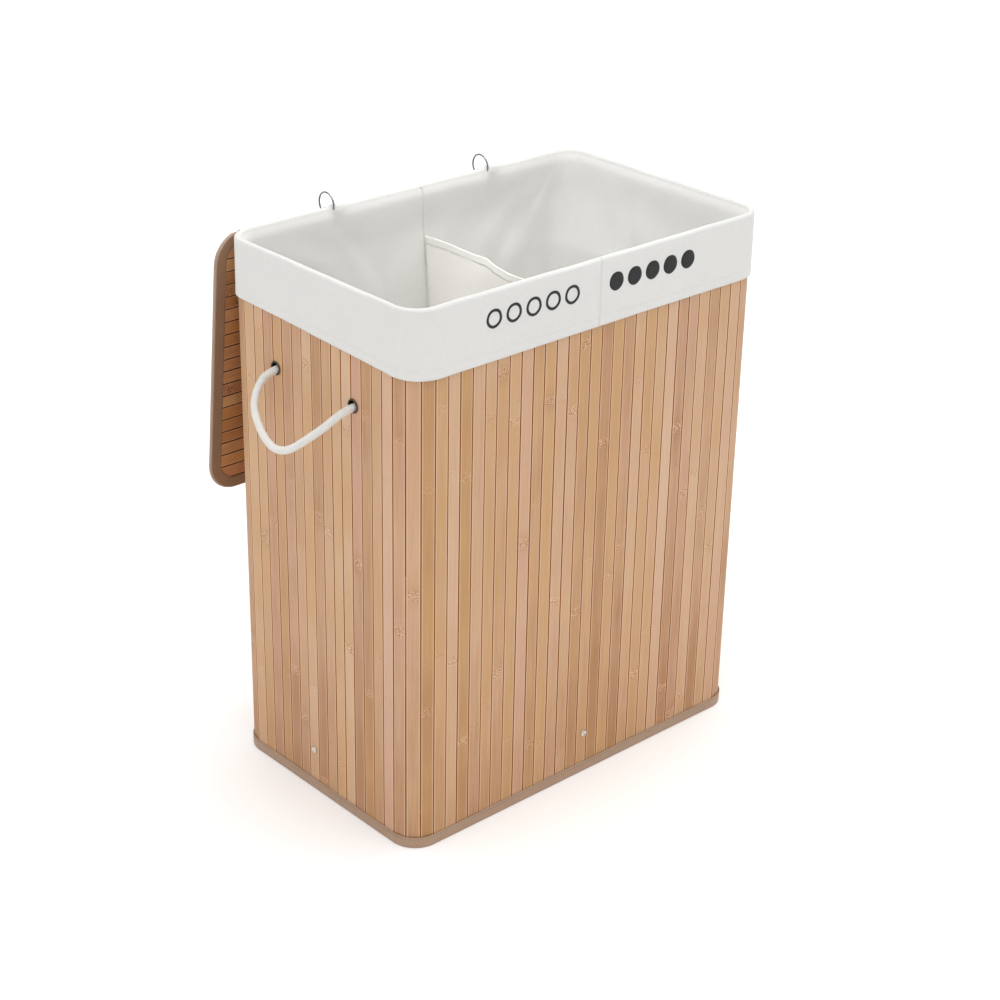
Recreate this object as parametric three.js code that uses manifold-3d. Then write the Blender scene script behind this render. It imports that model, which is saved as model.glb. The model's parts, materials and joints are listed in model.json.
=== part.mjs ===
// A laundry hamper with two cloth bins: slatted walls on a bound base, a lid on two rings, rope handles.
// Millimetres, +Z up, the front towards -Y. The origin is the middle of the underside.
import * as THREE from "three";
import { mergeVertices } from "three/addons/utils/BufferGeometryUtils.js";
import Module from "manifold-3d";

const wasm = await Module();
wasm.setup();

// Overall sizes, outside of the slats and floor to rim
const length = 508;
const depth = 310;
const height = 630;
const corner_radius = 31;

// Clearances and cuts
const seat_gap = 0.3;
const overrun = 5;

// Wall slats, sewn to a backing cloth
const slat_pitch = 16.4;
const slat_gap = 0.9;
const slat_thickness = 2.4;
const slat_groove_depth = 1.6;
const corner_slats = 3;
const backing_thickness = 0.8;
const seam_tape_width = 26;
const seam_tape_thickness = 0.4;

// Binding tapes along the two edges of the wall
const binding_tape = 0.8;
const bottom_binding_height = 13.5;
const rim_tape = 0.5;
const top_binding_height = 22;

// Base
const base_cloth_thickness = 0.8;
const board_thickness = 3;
const wire_diameter = 4;
const strap_thickness = 1.2;
const strap_width = 22;
const strap_top = 62;
const wire_sides = 8;
const wire_corner_steps = 4;

// Rivets that hold the straps
const rivet_level = 52;
// Along each wall, to its own left as seen from inside: between two slats' joints, a little off the middle
const rivet_places = { right: 16.5, back: 0, left: -16.5, front: 3 };
const rivet_head_radius = 4.2;
const rivet_head_height = 1.5;
const rivet_shank_radius = 1.8;
const rivet_washer_radius = 4.6;
const rivet_washer_thickness = 0.8;

// Liner: a cuff turned over the rim, two bins and a divider
const cloth_thickness = 1;
const cuff_depth = 78;
const bin_slope_end = 112;
const bin_end_slack = 20.5;
const bin_side_slack = 4.4;
const divider_drop = 52;

// Rope handles
const rope_diameter = 8.5;
const handle_spacing = 131;
const handle_shift = 4;
const handle_drop = 128;
const handle_standoff = 8;
const handle_tilt = THREE.MathUtils.degToRad(40);
const knot_radius = 9;
const rope_sides = 8;
const rope_steps = 26;
// The route of a handle from its front hole to its back one: along the wall, and down the loop's plane
const rope_route = [
  [-65.5, 0], [-62, 8], [-57.5, 16], [-52.5, 25.5], [-46.5, 34.5], [-40.5, 43], [-34, 51.5],
  [-27.5, 60], [-20, 66.5], [-10, 70.5], [1, 71], [12, 68.5], [23, 64.5], [34, 59], [44, 53],
  [53.5, 46.5], [61, 38.5], [66, 28.5], [68.5, 18], [68, 8], [65.5, 0],
];

// Metal eyelets for the ropes
const rope_play = 1.8;
const eyelet_flange_radius = 8;
const eyelet_flange_thickness = 0.8;
const eyelet_wall = 0.6;
const eyelet_washer_radius = 9;
const eyelet_washer_thickness = 0.8;
const eyelet_lip_radius = 7.6;
const eyelet_lip_thickness = 0.6;

// Lid
const lid_overhang = 6;
const lid_front_overhang = 8.5;
const lid_edge_margin = 6;
const lid_slat_pitch = 15.1;
const lid_slat_thickness = 1.4;
const lid_groove_depth = 0.9;
const lid_board_thickness = 1.2;
const lid_tape = 0.5;
const lid_tape_width = 14.5;
const lid_corner_steps = 5;
const lid_lean = THREE.MathUtils.degToRad(6);

// Rings that hang the lid on the back wall, and the lid's own eyelets
const ring_radius = 13;
const ring_wire_radius = 1;
const ring_spacing = 226;
const ring_drop = 2.3;
const ring_sides = 6;
const ring_steps = 28;
const lid_eyelet_bore = 4;
const lid_eyelet_wall = 0.6;
const lid_eyelet_flange_radius = 6;
const lid_eyelet_flange_thickness = 0.5;

// Facets of turned pieces
const round_sides = 12;
const knot_steps = 8;

// Places of the wall's layers, measured outwards from the outer face of the slats
const slat_inside = -slat_thickness;
const backing_outside = slat_inside - seat_gap;
const backing_inside = backing_outside - backing_thickness;
const channel_inside = backing_inside - seat_gap;
const bottom_binding_outside = seat_gap + binding_tape;
const bottom_binding_inside = channel_inside - binding_tape;
const top_binding_outside = seat_gap + rim_tape;
const top_binding_inside = channel_inside - rim_tape;
const cuff_inside = top_binding_outside + seat_gap;
const cuff_outside = cuff_inside + cloth_thickness;
const bin_outside = top_binding_inside - seat_gap;
const bin_inside = bin_outside - cloth_thickness;

// Levels
const slat_bottom = binding_tape + seat_gap;
const wall_top = height - cloth_thickness - seat_gap;
const slat_top = wall_top - rim_tape - seat_gap;
const board_bottom = base_cloth_thickness + seat_gap;
const board_top = board_bottom + board_thickness;
const strap_loop_inner = wire_diameter / 2 + seat_gap;
const strap_loop_outer = strap_loop_inner + strap_thickness;
const wire_level = board_top + seat_gap + strap_loop_outer;
const bin_bottom = wire_level + strap_loop_outer + seat_gap;
const bin_floor = bin_bottom + cloth_thickness;
const bin_top = wall_top;
const divider_top = height - divider_drop;
const handle_level = height - handle_drop;
const base_outline = bottom_binding_inside - seat_gap;
const strap_outside = base_outline;
const strap_inside = strap_outside - strap_thickness;
const wire_place = strap_outside - strap_loop_outer;

// Lid: its thickness, and the axis it turns on, one seat gap clear of the cuff behind and the rim below
const lid_stack = lid_slat_thickness + seat_gap + lid_board_thickness;
const lid_thickness = lid_stack + 2 * (seat_gap + lid_tape);
const lid_proud = seat_gap + lid_eyelet_flange_thickness;
const lid_axis_out = cuff_outside + seat_gap + lid_proud + lid_thickness / 2;
const lid_axis_y = depth / 2 + lid_axis_out;
const lid_axis_z = height + seat_gap + lid_proud + lid_thickness / 2;
const lid_half_length = length / 2 + cuff_outside + lid_overhang;
const lid_front_reach = depth / 2 + cuff_outside + lid_front_overhang;
const lid_depth = lid_axis_y - lid_edge_margin + lid_front_reach;
const lid_corner_radius = corner_radius + lid_overhang;

// Rings: their centre, and the hole that each needs through the wall, from where it crosses the cloth
const ring_level = lid_axis_z - ring_drop;
const ring_hole_bottom = ringCrossing(cuff_outside, ring_radius + ring_wire_radius) - seat_gap;
const ring_hole_top = ringCrossing(bin_inside, ring_radius - ring_wire_radius) + seat_gap;
const ring_hole_level = (ring_hole_bottom + ring_hole_top) / 2;
const ring_hole_radius = (ring_hole_top - ring_hole_bottom) / 2;

// Handles: the rope has play in the eyelet's bore, whose barrel fills the hole in the slats.
// The knot rests in the bore's mouth.
const rope_radius = rope_diameter / 2;
const eyelet_bore = rope_radius + rope_play;
const eyelet_barrel = eyelet_bore + eyelet_wall;
const eyelet_hole = eyelet_barrel + seat_gap;
const eyelet_washer_outside = backing_inside - seat_gap;
const eyelet_washer_inside = eyelet_washer_outside - eyelet_washer_thickness;
const eyelet_end = eyelet_washer_inside - seat_gap - eyelet_lip_thickness;
const knot_centre = eyelet_end - Math.sqrt((knot_radius + seat_gap) ** 2 - eyelet_bore ** 2);
const rope_stub_end = handle_standoff - rope_radius - seat_gap;

const side_of = { left: -1, right: 1 };
const walls = {
  right: { turn: 0, reach: length / 2, across: depth },
  back: { turn: Math.PI / 2, reach: depth / 2, across: length },
  left: { turn: Math.PI, reach: length / 2, across: depth },
  front: { turn: -Math.PI / 2, reach: depth / 2, across: length },
};

// The level at which a circle round a ring's centre passes a layer of the back wall
function ringCrossing(layer, radius) {
  const out = lid_axis_out - layer;
  return ring_level - Math.sqrt(radius * radius - out * out);
}

const finishes = {
  bamboo: [0xcda582, 0.55, 0],
  lid_bamboo: [0xc39a72, 0.55, 0],
  tape: [0xa58770, 0.85, 0],
  backing: [0xd8c9b0, 0.9, 0],
  canvas: [0xe0e0dd, 0.9, 0],
  cord: [0xebe6de, 0.9, 0],
  board: [0x9a7a58, 0.8, 0],
  webbing: [0xdedad0, 0.9, 0],
  bronze: [0x5a5046, 0.4, 0.9],
  nickel: [0xcfccc4, 0.3, 0.9],
  steel: [0x8c8c8a, 0.3, 1],
};

function mesh(name, geometry, finish) {
  const [color, roughness, metalness] = finishes[finish];
  const made = new THREE.Mesh(geometry, new THREE.MeshStandardMaterial({ color, roughness, metalness }));
  made.name = name;
  return made;
}

// Solids for cutting and joining
function solid(geometry) {
  const plain = new THREE.BufferGeometry();
  plain.setAttribute("position", geometry.getAttribute("position"));
  if (geometry.index) plain.setIndex(geometry.index);
  const merged = mergeVertices(plain);
  const triVerts = new Uint32Array(merged.index.array);
  const vertProperties = merged.getAttribute("position").array;
  return new wasm.Manifold(new wasm.Mesh({ numProp: 3, vertProperties, triVerts }));
}

function geometryOf(shape) {
  const made = shape.getMesh();
  const geometry = new THREE.BufferGeometry();
  geometry.setAttribute("position", new THREE.BufferAttribute(made.vertProperties, 3));
  geometry.setIndex(new THREE.BufferAttribute(made.triVerts, 1));
  return geometry;
}

function cut(geometry, tools) {
  return geometryOf(tools.reduce((left, tool) => left.subtract(solid(tool)), solid(geometry)));
}

// Outlines in plan
function roundedOutline(half_x, half_y, radius, steps) {
  const corners = [[1, 1], [-1, 1], [-1, -1], [1, -1]];
  return corners.flatMap(([side_x, side_y], quarter) =>
    Array.from({ length: steps + 1 }, (_, step) => {
      const angle = ((quarter + step / steps) * Math.PI) / 2;
      const x = side_x * (half_x - radius) + radius * Math.cos(angle);
      const y = side_y * (half_y - radius) + radius * Math.sin(angle);
      return new THREE.Vector2(x, y);
    }),
  );
}

function plan(offset) {
  return roundedOutline(length / 2 + offset, depth / 2 + offset, corner_radius + offset, corner_slats);
}

function prism(outline, bottom, top, holes = []) {
  const shape = new THREE.Shape(outline);
  shape.holes = holes.map((hole) => new THREE.Path(hole));
  const geometry = new THREE.ExtrudeGeometry(shape, { depth: top - bottom, bevelEnabled: false });
  return geometry.translate(0, 0, bottom);
}

function band(outside, inside, bottom, top) {
  return prism(plan(outside), bottom, top, [plan(inside)]);
}

function box(low, high) {
  const [low_x, low_y, low_z] = low;
  const [high_x, high_y, high_z] = high;
  const geometry = new THREE.BoxGeometry(high_x - low_x, high_y - low_y, high_z - low_z);
  return geometry.translate((low_x + high_x) / 2, (low_y + high_y) / 2, (low_z + high_z) / 2);
}

// A skin through rows of matching closed outlines: open ends get flat caps, and a ring closes on itself
function skin(rows, ring = false) {
  const count = rows[0].length;
  const positions = rows.flat().flatMap((point) => [point.x, point.y, point.z]);
  const index = [];
  const spans = ring ? rows.length : rows.length - 1;
  for (let row = 0; row < spans; row++) {
    const below = row * count;
    const above = ((row + 1) % rows.length) * count;
    for (let i = 0; i < count; i++) {
      const next = (i + 1) % count;
      index.push(below + i, below + next, above + next);
      index.push(below + i, above + next, above + i);
    }
  }
  if (!ring) {
    const last = (rows.length - 1) * count;
    THREE.ShapeUtils.triangulateShape(rows[0], []).forEach(([a, b, c]) => {
      index.push(c, b, a);
      index.push(last + a, last + b, last + c);
    });
  }
  const geometry = new THREE.BufferGeometry();
  geometry.setAttribute("position", new THREE.Float32BufferAttribute(positions, 3));
  geometry.setIndex(index);
  return geometry;
}

function raised(outline, level) {
  return outline.map((point) => new THREE.Vector3(point.x, point.y, level));
}

// A turned piece whose axis points out of a wall: its profile gives radius and place along that axis
function turned(profile, sides = round_sides) {
  const points = profile.map(([radius, place]) => new THREE.Vector2(radius, place));
  return new THREE.LatheGeometry(points, sides).rotateZ(-Math.PI / 2);
}

// A round hole through one wall
function wallHole(wall, along, level, radius) {
  const run = 2 * (overrun - bin_inside);
  const tool = new THREE.CylinderGeometry(radius, radius, run, round_sides).rotateZ(Math.PI / 2);
  return tool.translate(wall.reach, along, level).rotateZ(wall.turn);
}

// Places of the eyelets from front to back, and of the rings from left to right
const handle_places = [handle_shift - handle_spacing / 2, handle_shift + handle_spacing / 2];
const ring_places = [-ring_spacing / 2, ring_spacing / 2];
const ring_holes = ring_places.map((x) => wallHole(walls.back, -x, ring_hole_level, ring_hole_radius));

function holesOf(name) {
  const wall = walls[name];
  const holes = [wallHole(wall, rivet_places[name], rivet_level, rivet_shank_radius + seat_gap)];
  if (name in side_of)
    holes.push(...handle_places.map((y) => wallHole(wall, y * side_of[name], handle_level, eyelet_hole)));
  if (name === "back") holes.push(...ring_holes);
  return holes;
}

// Slats: a strip with a groove at each joint, between matching points on its outer and inner faces
function slatStrip(outer, inner) {
  const edge = [];
  const near = (from, to, distance) => from.clone().lerp(to, distance / from.distanceTo(to));
  for (let i = 0; i < outer.length - 1; i++) {
    const start = near(outer[i], outer[i + 1], slat_gap / 2);
    const end = near(outer[i + 1], outer[i], slat_gap / 2);
    const start_inward = inner[i].clone().sub(outer[i]).setLength(slat_groove_depth);
    const end_inward = inner[i + 1].clone().sub(outer[i + 1]).setLength(slat_groove_depth);
    if (i > 0) edge.push(start.clone().add(start_inward));
    edge.push(start, end);
    if (i < outer.length - 2) edge.push(end.clone().add(end_inward));
  }
  const last = inner.length - 1;
  const back = inner.map((point, i) => {
    if (i === 0) return near(point, inner[1], slat_gap / 2);
    if (i === last) return near(point, inner[last - 1], slat_gap / 2);
    return point;
  });
  return [...edge, ...back.reverse()];
}

function flatSlats(name) {
  const wall = walls[name];
  const half = wall.across / 2 - corner_radius;
  const count = Math.round((2 * half) / slat_pitch);
  const line = (x) =>
    Array.from({ length: count + 1 }, (_, i) => new THREE.Vector2(x, -half + (2 * half * i) / count));
  const strip = slatStrip(line(wall.reach), line(wall.reach - slat_thickness));
  const panel = prism(strip, slat_bottom, slat_top).rotateZ(wall.turn);
  return mesh(name + "_slats", cut(panel, holesOf(name)), "bamboo");
}

function cornerSlats(name, quarter) {
  const pick = (outline) => outline.slice(quarter * (corner_slats + 1), (quarter + 1) * (corner_slats + 1));
  const strip = slatStrip(pick(plan(0)), pick(plan(slat_inside)));
  return mesh(name + "_corner_slats", prism(strip, slat_bottom, slat_top), "bamboo");
}

const hamper = new THREE.Group();
const basket = new THREE.Group();
hamper.add(basket);

// Walls: slats, backing, seam tape and the two edge bindings
Object.keys(walls).forEach((name) => basket.add(flatSlats(name)));
["back_right", "back_left", "front_left", "front_right"].forEach((name, quarter) =>
  basket.add(cornerSlats(name, quarter)),
);
const all_holes = Object.keys(walls).flatMap(holesOf);
const backing = band(backing_outside, backing_inside, slat_bottom, slat_top);
basket.add(mesh("wall_backing_cloth", cut(backing, all_holes), "backing"));

const bottom_channel = band(seat_gap, channel_inside, binding_tape, bottom_binding_height + overrun);
const bottom_binding = band(bottom_binding_outside, bottom_binding_inside, 0, bottom_binding_height);
basket.add(mesh("bottom_binding", cut(bottom_binding, [bottom_channel]), "tape"));

const top_binding_bottom = wall_top - top_binding_height;
const top_channel = band(seat_gap, channel_inside, top_binding_bottom - overrun, wall_top - rim_tape);
const top_binding = band(top_binding_outside, top_binding_inside, top_binding_bottom, wall_top);
basket.add(mesh("top_binding", cut(top_binding, [top_channel, ...ring_holes]), "tape"));

const tape_outside = depth / 2 + backing_inside - seat_gap;
const tape_bottom = bottom_binding_height + seat_gap;
const tape_top = top_binding_bottom - seat_gap;
const seam_tape = box(
  [strap_width / 2 + seat_gap, tape_outside - seam_tape_thickness, tape_bottom],
  [strap_width / 2 + seat_gap + seam_tape_width, tape_outside, tape_top],
);
basket.add(mesh("wall_seam_tape", seam_tape, "tape"));

// Base: cloth, board, and the wire frame that the straps hold down
basket.add(mesh("base_cloth", prism(plan(base_outline), 0, base_cloth_thickness), "backing"));
basket.add(mesh("base_board", prism(plan(base_outline), board_bottom, board_top), "board"));

const wire_rows = Array.from({ length: wire_sides }, (_, i) => {
  const angle = (2 * Math.PI * i) / wire_sides;
  const out = wire_place + (wire_diameter / 2) * Math.cos(angle);
  const level = wire_level + (wire_diameter / 2) * Math.sin(angle);
  const halves = [length / 2 + out, depth / 2 + out, corner_radius + out];
  return raised(roundedOutline(...halves, wire_corner_steps), level);
});
basket.add(mesh("base_wire_frame", skin(wire_rows, true), "steel"));

// A strap hangs from its rivet and loops round the wire
function strap() {
  const tip = Math.acos((strap_loop_outer - strap_thickness) / strap_loop_outer);
  const shape = new THREE.Shape();
  shape.moveTo(strap_outside, strap_top);
  shape.lineTo(strap_inside, strap_top);
  shape.lineTo(strap_inside, wire_level + strap_loop_outer * Math.sin(tip));
  shape.absarc(wire_place, wire_level, strap_loop_outer, tip, 2 * Math.PI, false);
  shape.lineTo(strap_outside, strap_top);
  const eye = new THREE.Path().absarc(wire_place, wire_level, strap_loop_inner, 0, 2 * Math.PI, true);
  shape.holes = [eye];
  const settings = { depth: strap_width, bevelEnabled: false, curveSegments: wire_sides };
  const geometry = new THREE.ExtrudeGeometry(shape, settings);
  geometry.translate(0, 0, -strap_width / 2).rotateX(Math.PI / 2);
  const hole = wallHole({ reach: 0, turn: 0 }, 0, rivet_level, rivet_shank_radius + seat_gap);
  return cut(geometry, [hole]);
}

const rivet_washer_outside = strap_inside - seat_gap;
const rivet_washer_inside = rivet_washer_outside - rivet_washer_thickness;
const rivet_head_base = seat_gap;
const rivet_tip = rivet_washer_inside - seat_gap;
const rivet_shoulder_share = 0.75;
const rivet_profile = [
  [0, rivet_tip],
  [rivet_shank_radius, rivet_tip],
  [rivet_shank_radius, rivet_head_base],
  [rivet_head_radius, rivet_head_base],
  [rivet_head_radius * rivet_shoulder_share, rivet_head_base + rivet_head_height * rivet_shoulder_share],
  [0, rivet_head_base + rivet_head_height],
];

function washerProfile(bore, radius, outside, inside) {
  return [[bore, inside], [radius, inside], [radius, outside], [bore, outside], [bore, inside]];
}

const rivet_washer_profile = washerProfile(
  rivet_shank_radius + seat_gap,
  rivet_washer_radius,
  rivet_washer_outside,
  rivet_washer_inside,
);

function wallGroup(name) {
  const group = new THREE.Group();
  group.rotation.z = walls[name].turn;
  basket.add(group);
  return group;
}

Object.keys(walls).forEach((name) => {
  const group = wallGroup(name);
  const pieces = [
    mesh(name + "_strap", strap(), "webbing"),
    mesh(name + "_rivet", turned(rivet_profile).translate(0, 0, rivet_level), "nickel"),
    mesh(name + "_rivet_washer", turned(rivet_washer_profile).translate(0, 0, rivet_level), "steel"),
  ];
  pieces.forEach((piece) => {
    piece.position.set(walls[name].reach, rivet_places[name], 0);
    group.add(piece);
  });
});

// Handle eyelets, their washers and the knotted rope ends
const eyelet_face = seat_gap + eyelet_flange_thickness;
const eyelet_profile = [
  [eyelet_bore, eyelet_end],
  [eyelet_lip_radius, eyelet_end],
  [eyelet_lip_radius, eyelet_end + eyelet_lip_thickness],
  [eyelet_barrel, eyelet_end + eyelet_lip_thickness],
  [eyelet_barrel, seat_gap],
  [eyelet_flange_radius, seat_gap],
  [eyelet_flange_radius, eyelet_face - eyelet_flange_thickness / 2],
  [eyelet_barrel, eyelet_face],
  [eyelet_bore, eyelet_face - eyelet_flange_thickness / 2],
  [eyelet_bore, eyelet_end],
];
const eyelet_washer_profile = washerProfile(
  eyelet_hole,
  eyelet_washer_radius,
  eyelet_washer_outside,
  eyelet_washer_inside,
);
const knot_neck_angle = Math.asin(rope_radius / knot_radius);
const knot_profile = [
  ...Array.from({ length: knot_steps + 1 }, (_, i) => {
    const angle = (i * (Math.PI - knot_neck_angle)) / knot_steps;
    return [knot_radius * Math.sin(angle), knot_centre - knot_radius * Math.cos(angle)];
  }),
  [rope_radius, rope_stub_end],
  [0, rope_stub_end],
];

// One rope loop: it lies in a plane tipped out from the wall, and its ends are round where it turns
function ropeLoop() {
  const section = new THREE.Shape(
    Array.from({ length: rope_sides }, (_, i) => {
      const angle = (2 * Math.PI * i) / rope_sides;
      return new THREE.Vector2(rope_radius * Math.cos(angle), rope_radius * Math.sin(angle));
    }),
  );
  const points = rope_route.map(([along, down]) => new THREE.Vector3(0, along, -down));
  const settings = {
    steps: rope_steps,
    bevelEnabled: false,
    extrudePath: new THREE.CatmullRomCurve3(points, false, "centripetal"),
  };
  const tube = solid(new THREE.ExtrudeGeometry(section, settings));
  const ends = [points[0], points[points.length - 1]].map((point) =>
    solid(new THREE.SphereGeometry(rope_radius, rope_sides, rope_sides / 2).translate(...point)),
  );
  return geometryOf(tube.add(ends[0]).add(ends[1]));
}

Object.keys(side_of).forEach((name) => {
  const group = wallGroup(name);
  handle_places.forEach((y) => {
    const key = name + (y < 0 ? "_front" : "_back");
    const pieces = [
      mesh(key + "_eyelet", turned(eyelet_profile), "bronze"),
      mesh(key + "_eyelet_washer", turned(eyelet_washer_profile), "bronze"),
      mesh(key + "_rope_knot", turned(knot_profile, rope_sides), "cord"),
    ];
    pieces.forEach((piece) => {
      piece.position.set(walls[name].reach, y * side_of[name], handle_level);
      group.add(piece);
    });
  });
  const handle = new THREE.Group();
  handle.position.set(side_of[name] * (length / 2 + handle_standoff), handle_shift, handle_level);
  handle.rotation.y = -side_of[name] * handle_tilt;
  handle.add(mesh(name + "_handle_rope", ropeLoop(), "cord"));
  hamper.add(handle);
});

// Liner: two open bins of cloth that narrow below the rim, each with a sewn floor, and a divider between
function bagOutline(offset) {
  const half_x = length / 2 + offset - bin_end_slack;
  const half_y = depth / 2 + offset - bin_side_slack;
  return roundedOutline(half_x, half_y, corner_radius + offset, corner_slats);
}

function bag(offset, bottom) {
  return [
    raised(bagOutline(offset), bottom),
    raised(bagOutline(offset), height - bin_slope_end),
    raised(plan(offset), bin_top),
  ];
}

function sideSpace(side) {
  const outer = length + overrun;
  const inner = (side * seat_gap) / 2;
  const low_x = side < 0 ? -outer : inner;
  const high_x = side < 0 ? inner : outer;
  return solid(box([low_x, -outer, -overrun], [high_x, outer, height + overrun]));
}

const bag_outer = solid(skin(bag(bin_outside, bin_bottom)));
const bag_mouth = raised(plan(bin_inside), bin_top + overrun);
const bag_inner = solid(skin([...bag(bin_inside, bin_bottom - overrun), bag_mouth]));
const bag_floor = solid(prism(bagOutline(bin_inside - seat_gap), bin_bottom, bin_floor));
const cuff_bottom = height - cuff_depth;
const cuff_body = solid(band(cuff_outside, bin_inside, cuff_bottom, height));
const cuff_channel = band(cuff_inside, bin_inside - overrun, cuff_bottom - overrun, bin_top + seat_gap);
const cuff_space = solid(cuff_channel);
const bag_shell = bag_outer.subtract(bag_inner);
const cuff_shell = cuff_body.subtract(cuff_space);
Object.keys(side_of).forEach((name) => {
  const drilled = (shape) => ring_holes.reduce((left, hole) => left.subtract(solid(hole)), shape);
  const bin = drilled(bag_shell.intersect(sideSpace(side_of[name])));
  const cuff = drilled(cuff_shell.intersect(sideSpace(side_of[name])));
  const floor = bag_floor.intersect(sideSpace(side_of[name]));
  basket.add(mesh("liner_" + name + "_bin", geometryOf(bin), "canvas"));
  basket.add(mesh("liner_" + name + "_floor", geometryOf(floor), "canvas"));
  basket.add(mesh("liner_" + name + "_cuff", geometryOf(cuff), "canvas"));
});
const divider_half = depth / 2 + bin_inside - bin_side_slack - seat_gap;
const divider = box(
  [-cloth_thickness / 2, -divider_half, bin_floor + seat_gap],
  [cloth_thickness / 2, divider_half, divider_top],
);
basket.add(mesh("liner_divider", divider, "canvas"));

// Rings, each through the back wall and the lid
ring_places.forEach((x) => {
  const geometry = new THREE.TorusGeometry(ring_radius, ring_wire_radius, ring_sides, ring_steps);
  const ring = mesh((x < 0 ? "left" : "right") + "_lid_ring", geometry, "steel");
  ring.rotation.y = Math.PI / 2;
  ring.position.set(x, lid_axis_y, ring_level);
  basket.add(ring);
});

// Lid: drawn flat below its axis, with the slatted side towards the wall, then leant off the wall
const lid = new THREE.Group();
lid.position.set(0, lid_axis_y, lid_axis_z);
lid.rotation.x = lid_lean;
hamper.add(lid);

const lid_middle = -lid_edge_margin - lid_depth / 2;
function lidOutline(inset) {
  const halves = [lid_half_length - inset, lid_depth / 2 - inset, lid_corner_radius - inset];
  return roundedOutline(...halves, lid_corner_steps).map((point) => point.setY(point.y + lid_middle));
}

function lidLayer(inset, back, front, holes = []) {
  return prism(lidOutline(inset), back, front, holes).rotateX(Math.PI / 2);
}

function lidHole(x) {
  const radius = lid_eyelet_bore + lid_eyelet_wall + seat_gap;
  const run = lid_thickness + 2 * overrun;
  return new THREE.CylinderGeometry(radius, radius, run, round_sides).translate(x, 0, -ring_radius);
}

const lid_holes = ring_places.map(lidHole);
const lid_slats_front = lid_thickness / 2 - lid_tape - seat_gap;
const lid_slats_back = lid_slats_front - lid_slat_thickness;
const lid_board_front = lid_slats_back - seat_gap;
const lid_board_back = lid_board_front - lid_board_thickness;
const lid_inset = lid_tape + seat_gap;

// Grooves between the lid's slats, cut as strips along the hinge side
const lid_slat_count = Math.round((lid_depth - 2 * lid_inset) / lid_slat_pitch);
const lid_grooves = Array.from({ length: lid_slat_count - 1 }, (_, i) => {
  const down = lid_edge_margin + lid_inset + ((i + 1) * (lid_depth - 2 * lid_inset)) / lid_slat_count;
  return box(
    [-lid_half_length, -lid_slats_front - overrun, -down - slat_gap / 2],
    [lid_half_length, -lid_slats_front + lid_groove_depth, -down + slat_gap / 2],
  );
});
const lid_slats = lidLayer(lid_inset, lid_slats_back, lid_slats_front);
lid.add(mesh("lid_slats", cut(lid_slats, [...lid_grooves, ...lid_holes]), "lid_bamboo"));
lid.add(mesh("lid_board", cut(lidLayer(lid_inset, lid_board_back, lid_board_front), lid_holes), "backing"));

const lid_edge = lidLayer(0, -lid_thickness / 2, lid_thickness / 2, [lidOutline(lid_tape_width)]);
const lid_channel_half = lid_thickness / 2 - lid_tape;
const lid_opening = lidOutline(lid_tape_width + overrun);
const lid_channel = lidLayer(lid_tape, -lid_channel_half, lid_channel_half, [lid_opening]);
lid.add(mesh("lid_binding", cut(lid_edge, [lid_channel, ...lid_holes]), "tape"));

const lid_face = lid_thickness / 2 + lid_proud;
const lid_seat = lid_thickness / 2 + seat_gap;
const lid_barrel = lid_eyelet_bore + lid_eyelet_wall;
const lid_eyelet_profile = [
  [lid_eyelet_bore, -lid_face],
  [lid_eyelet_flange_radius, -lid_face],
  [lid_eyelet_flange_radius, -lid_seat],
  [lid_barrel, -lid_seat],
  [lid_barrel, lid_seat],
  [lid_eyelet_flange_radius, lid_seat],
  [lid_eyelet_flange_radius, lid_face],
  [lid_eyelet_bore, lid_face],
  [lid_eyelet_bore, -lid_face],
];
ring_places.forEach((x) => {
  const eyelet = turned(lid_eyelet_profile).rotateZ(Math.PI / 2);
  const piece = mesh((x < 0 ? "left" : "right") + "_lid_eyelet", eyelet, "bronze");
  piece.position.set(x, 0, -ring_radius);
  lid.add(piece);
});

export default hamper;
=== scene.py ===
"""A laundry hamper with two cloth bins, bamboo slat walls, rope handles and a hung lid.

Metres, +Z up, the front towards -Y. Sizes come from the frame where the frame has them.
"""

import json
import math
import random

import bmesh
import bpy
import numpy as np
from mathutils import Matrix, Vector


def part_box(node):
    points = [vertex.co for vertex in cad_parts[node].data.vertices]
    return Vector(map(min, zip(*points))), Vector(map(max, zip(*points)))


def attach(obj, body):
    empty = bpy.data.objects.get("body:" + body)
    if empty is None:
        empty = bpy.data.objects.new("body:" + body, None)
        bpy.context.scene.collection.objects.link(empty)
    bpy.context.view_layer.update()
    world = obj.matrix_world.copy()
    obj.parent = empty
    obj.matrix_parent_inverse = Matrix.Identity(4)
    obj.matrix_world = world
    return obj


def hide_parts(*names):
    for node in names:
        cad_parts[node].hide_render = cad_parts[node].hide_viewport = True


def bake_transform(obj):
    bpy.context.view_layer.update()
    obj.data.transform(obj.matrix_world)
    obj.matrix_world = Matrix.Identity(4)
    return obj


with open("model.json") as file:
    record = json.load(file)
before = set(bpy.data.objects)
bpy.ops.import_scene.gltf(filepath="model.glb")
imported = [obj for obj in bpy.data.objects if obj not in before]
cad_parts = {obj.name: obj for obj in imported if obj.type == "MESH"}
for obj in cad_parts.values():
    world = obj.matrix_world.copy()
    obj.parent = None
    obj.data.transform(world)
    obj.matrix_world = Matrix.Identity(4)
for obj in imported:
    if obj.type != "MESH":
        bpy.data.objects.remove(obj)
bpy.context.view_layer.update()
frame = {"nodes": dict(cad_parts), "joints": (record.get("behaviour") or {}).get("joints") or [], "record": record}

MM = 0.001
DEGREE = math.pi / 180
SIDES = {"left": -1, "right": 1}
ENDS = ("front", "back")


def level_range(node):
    low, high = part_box(node)
    return low.z, high.z


def middle(node):
    low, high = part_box(node)
    return (low + high) / 2


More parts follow.
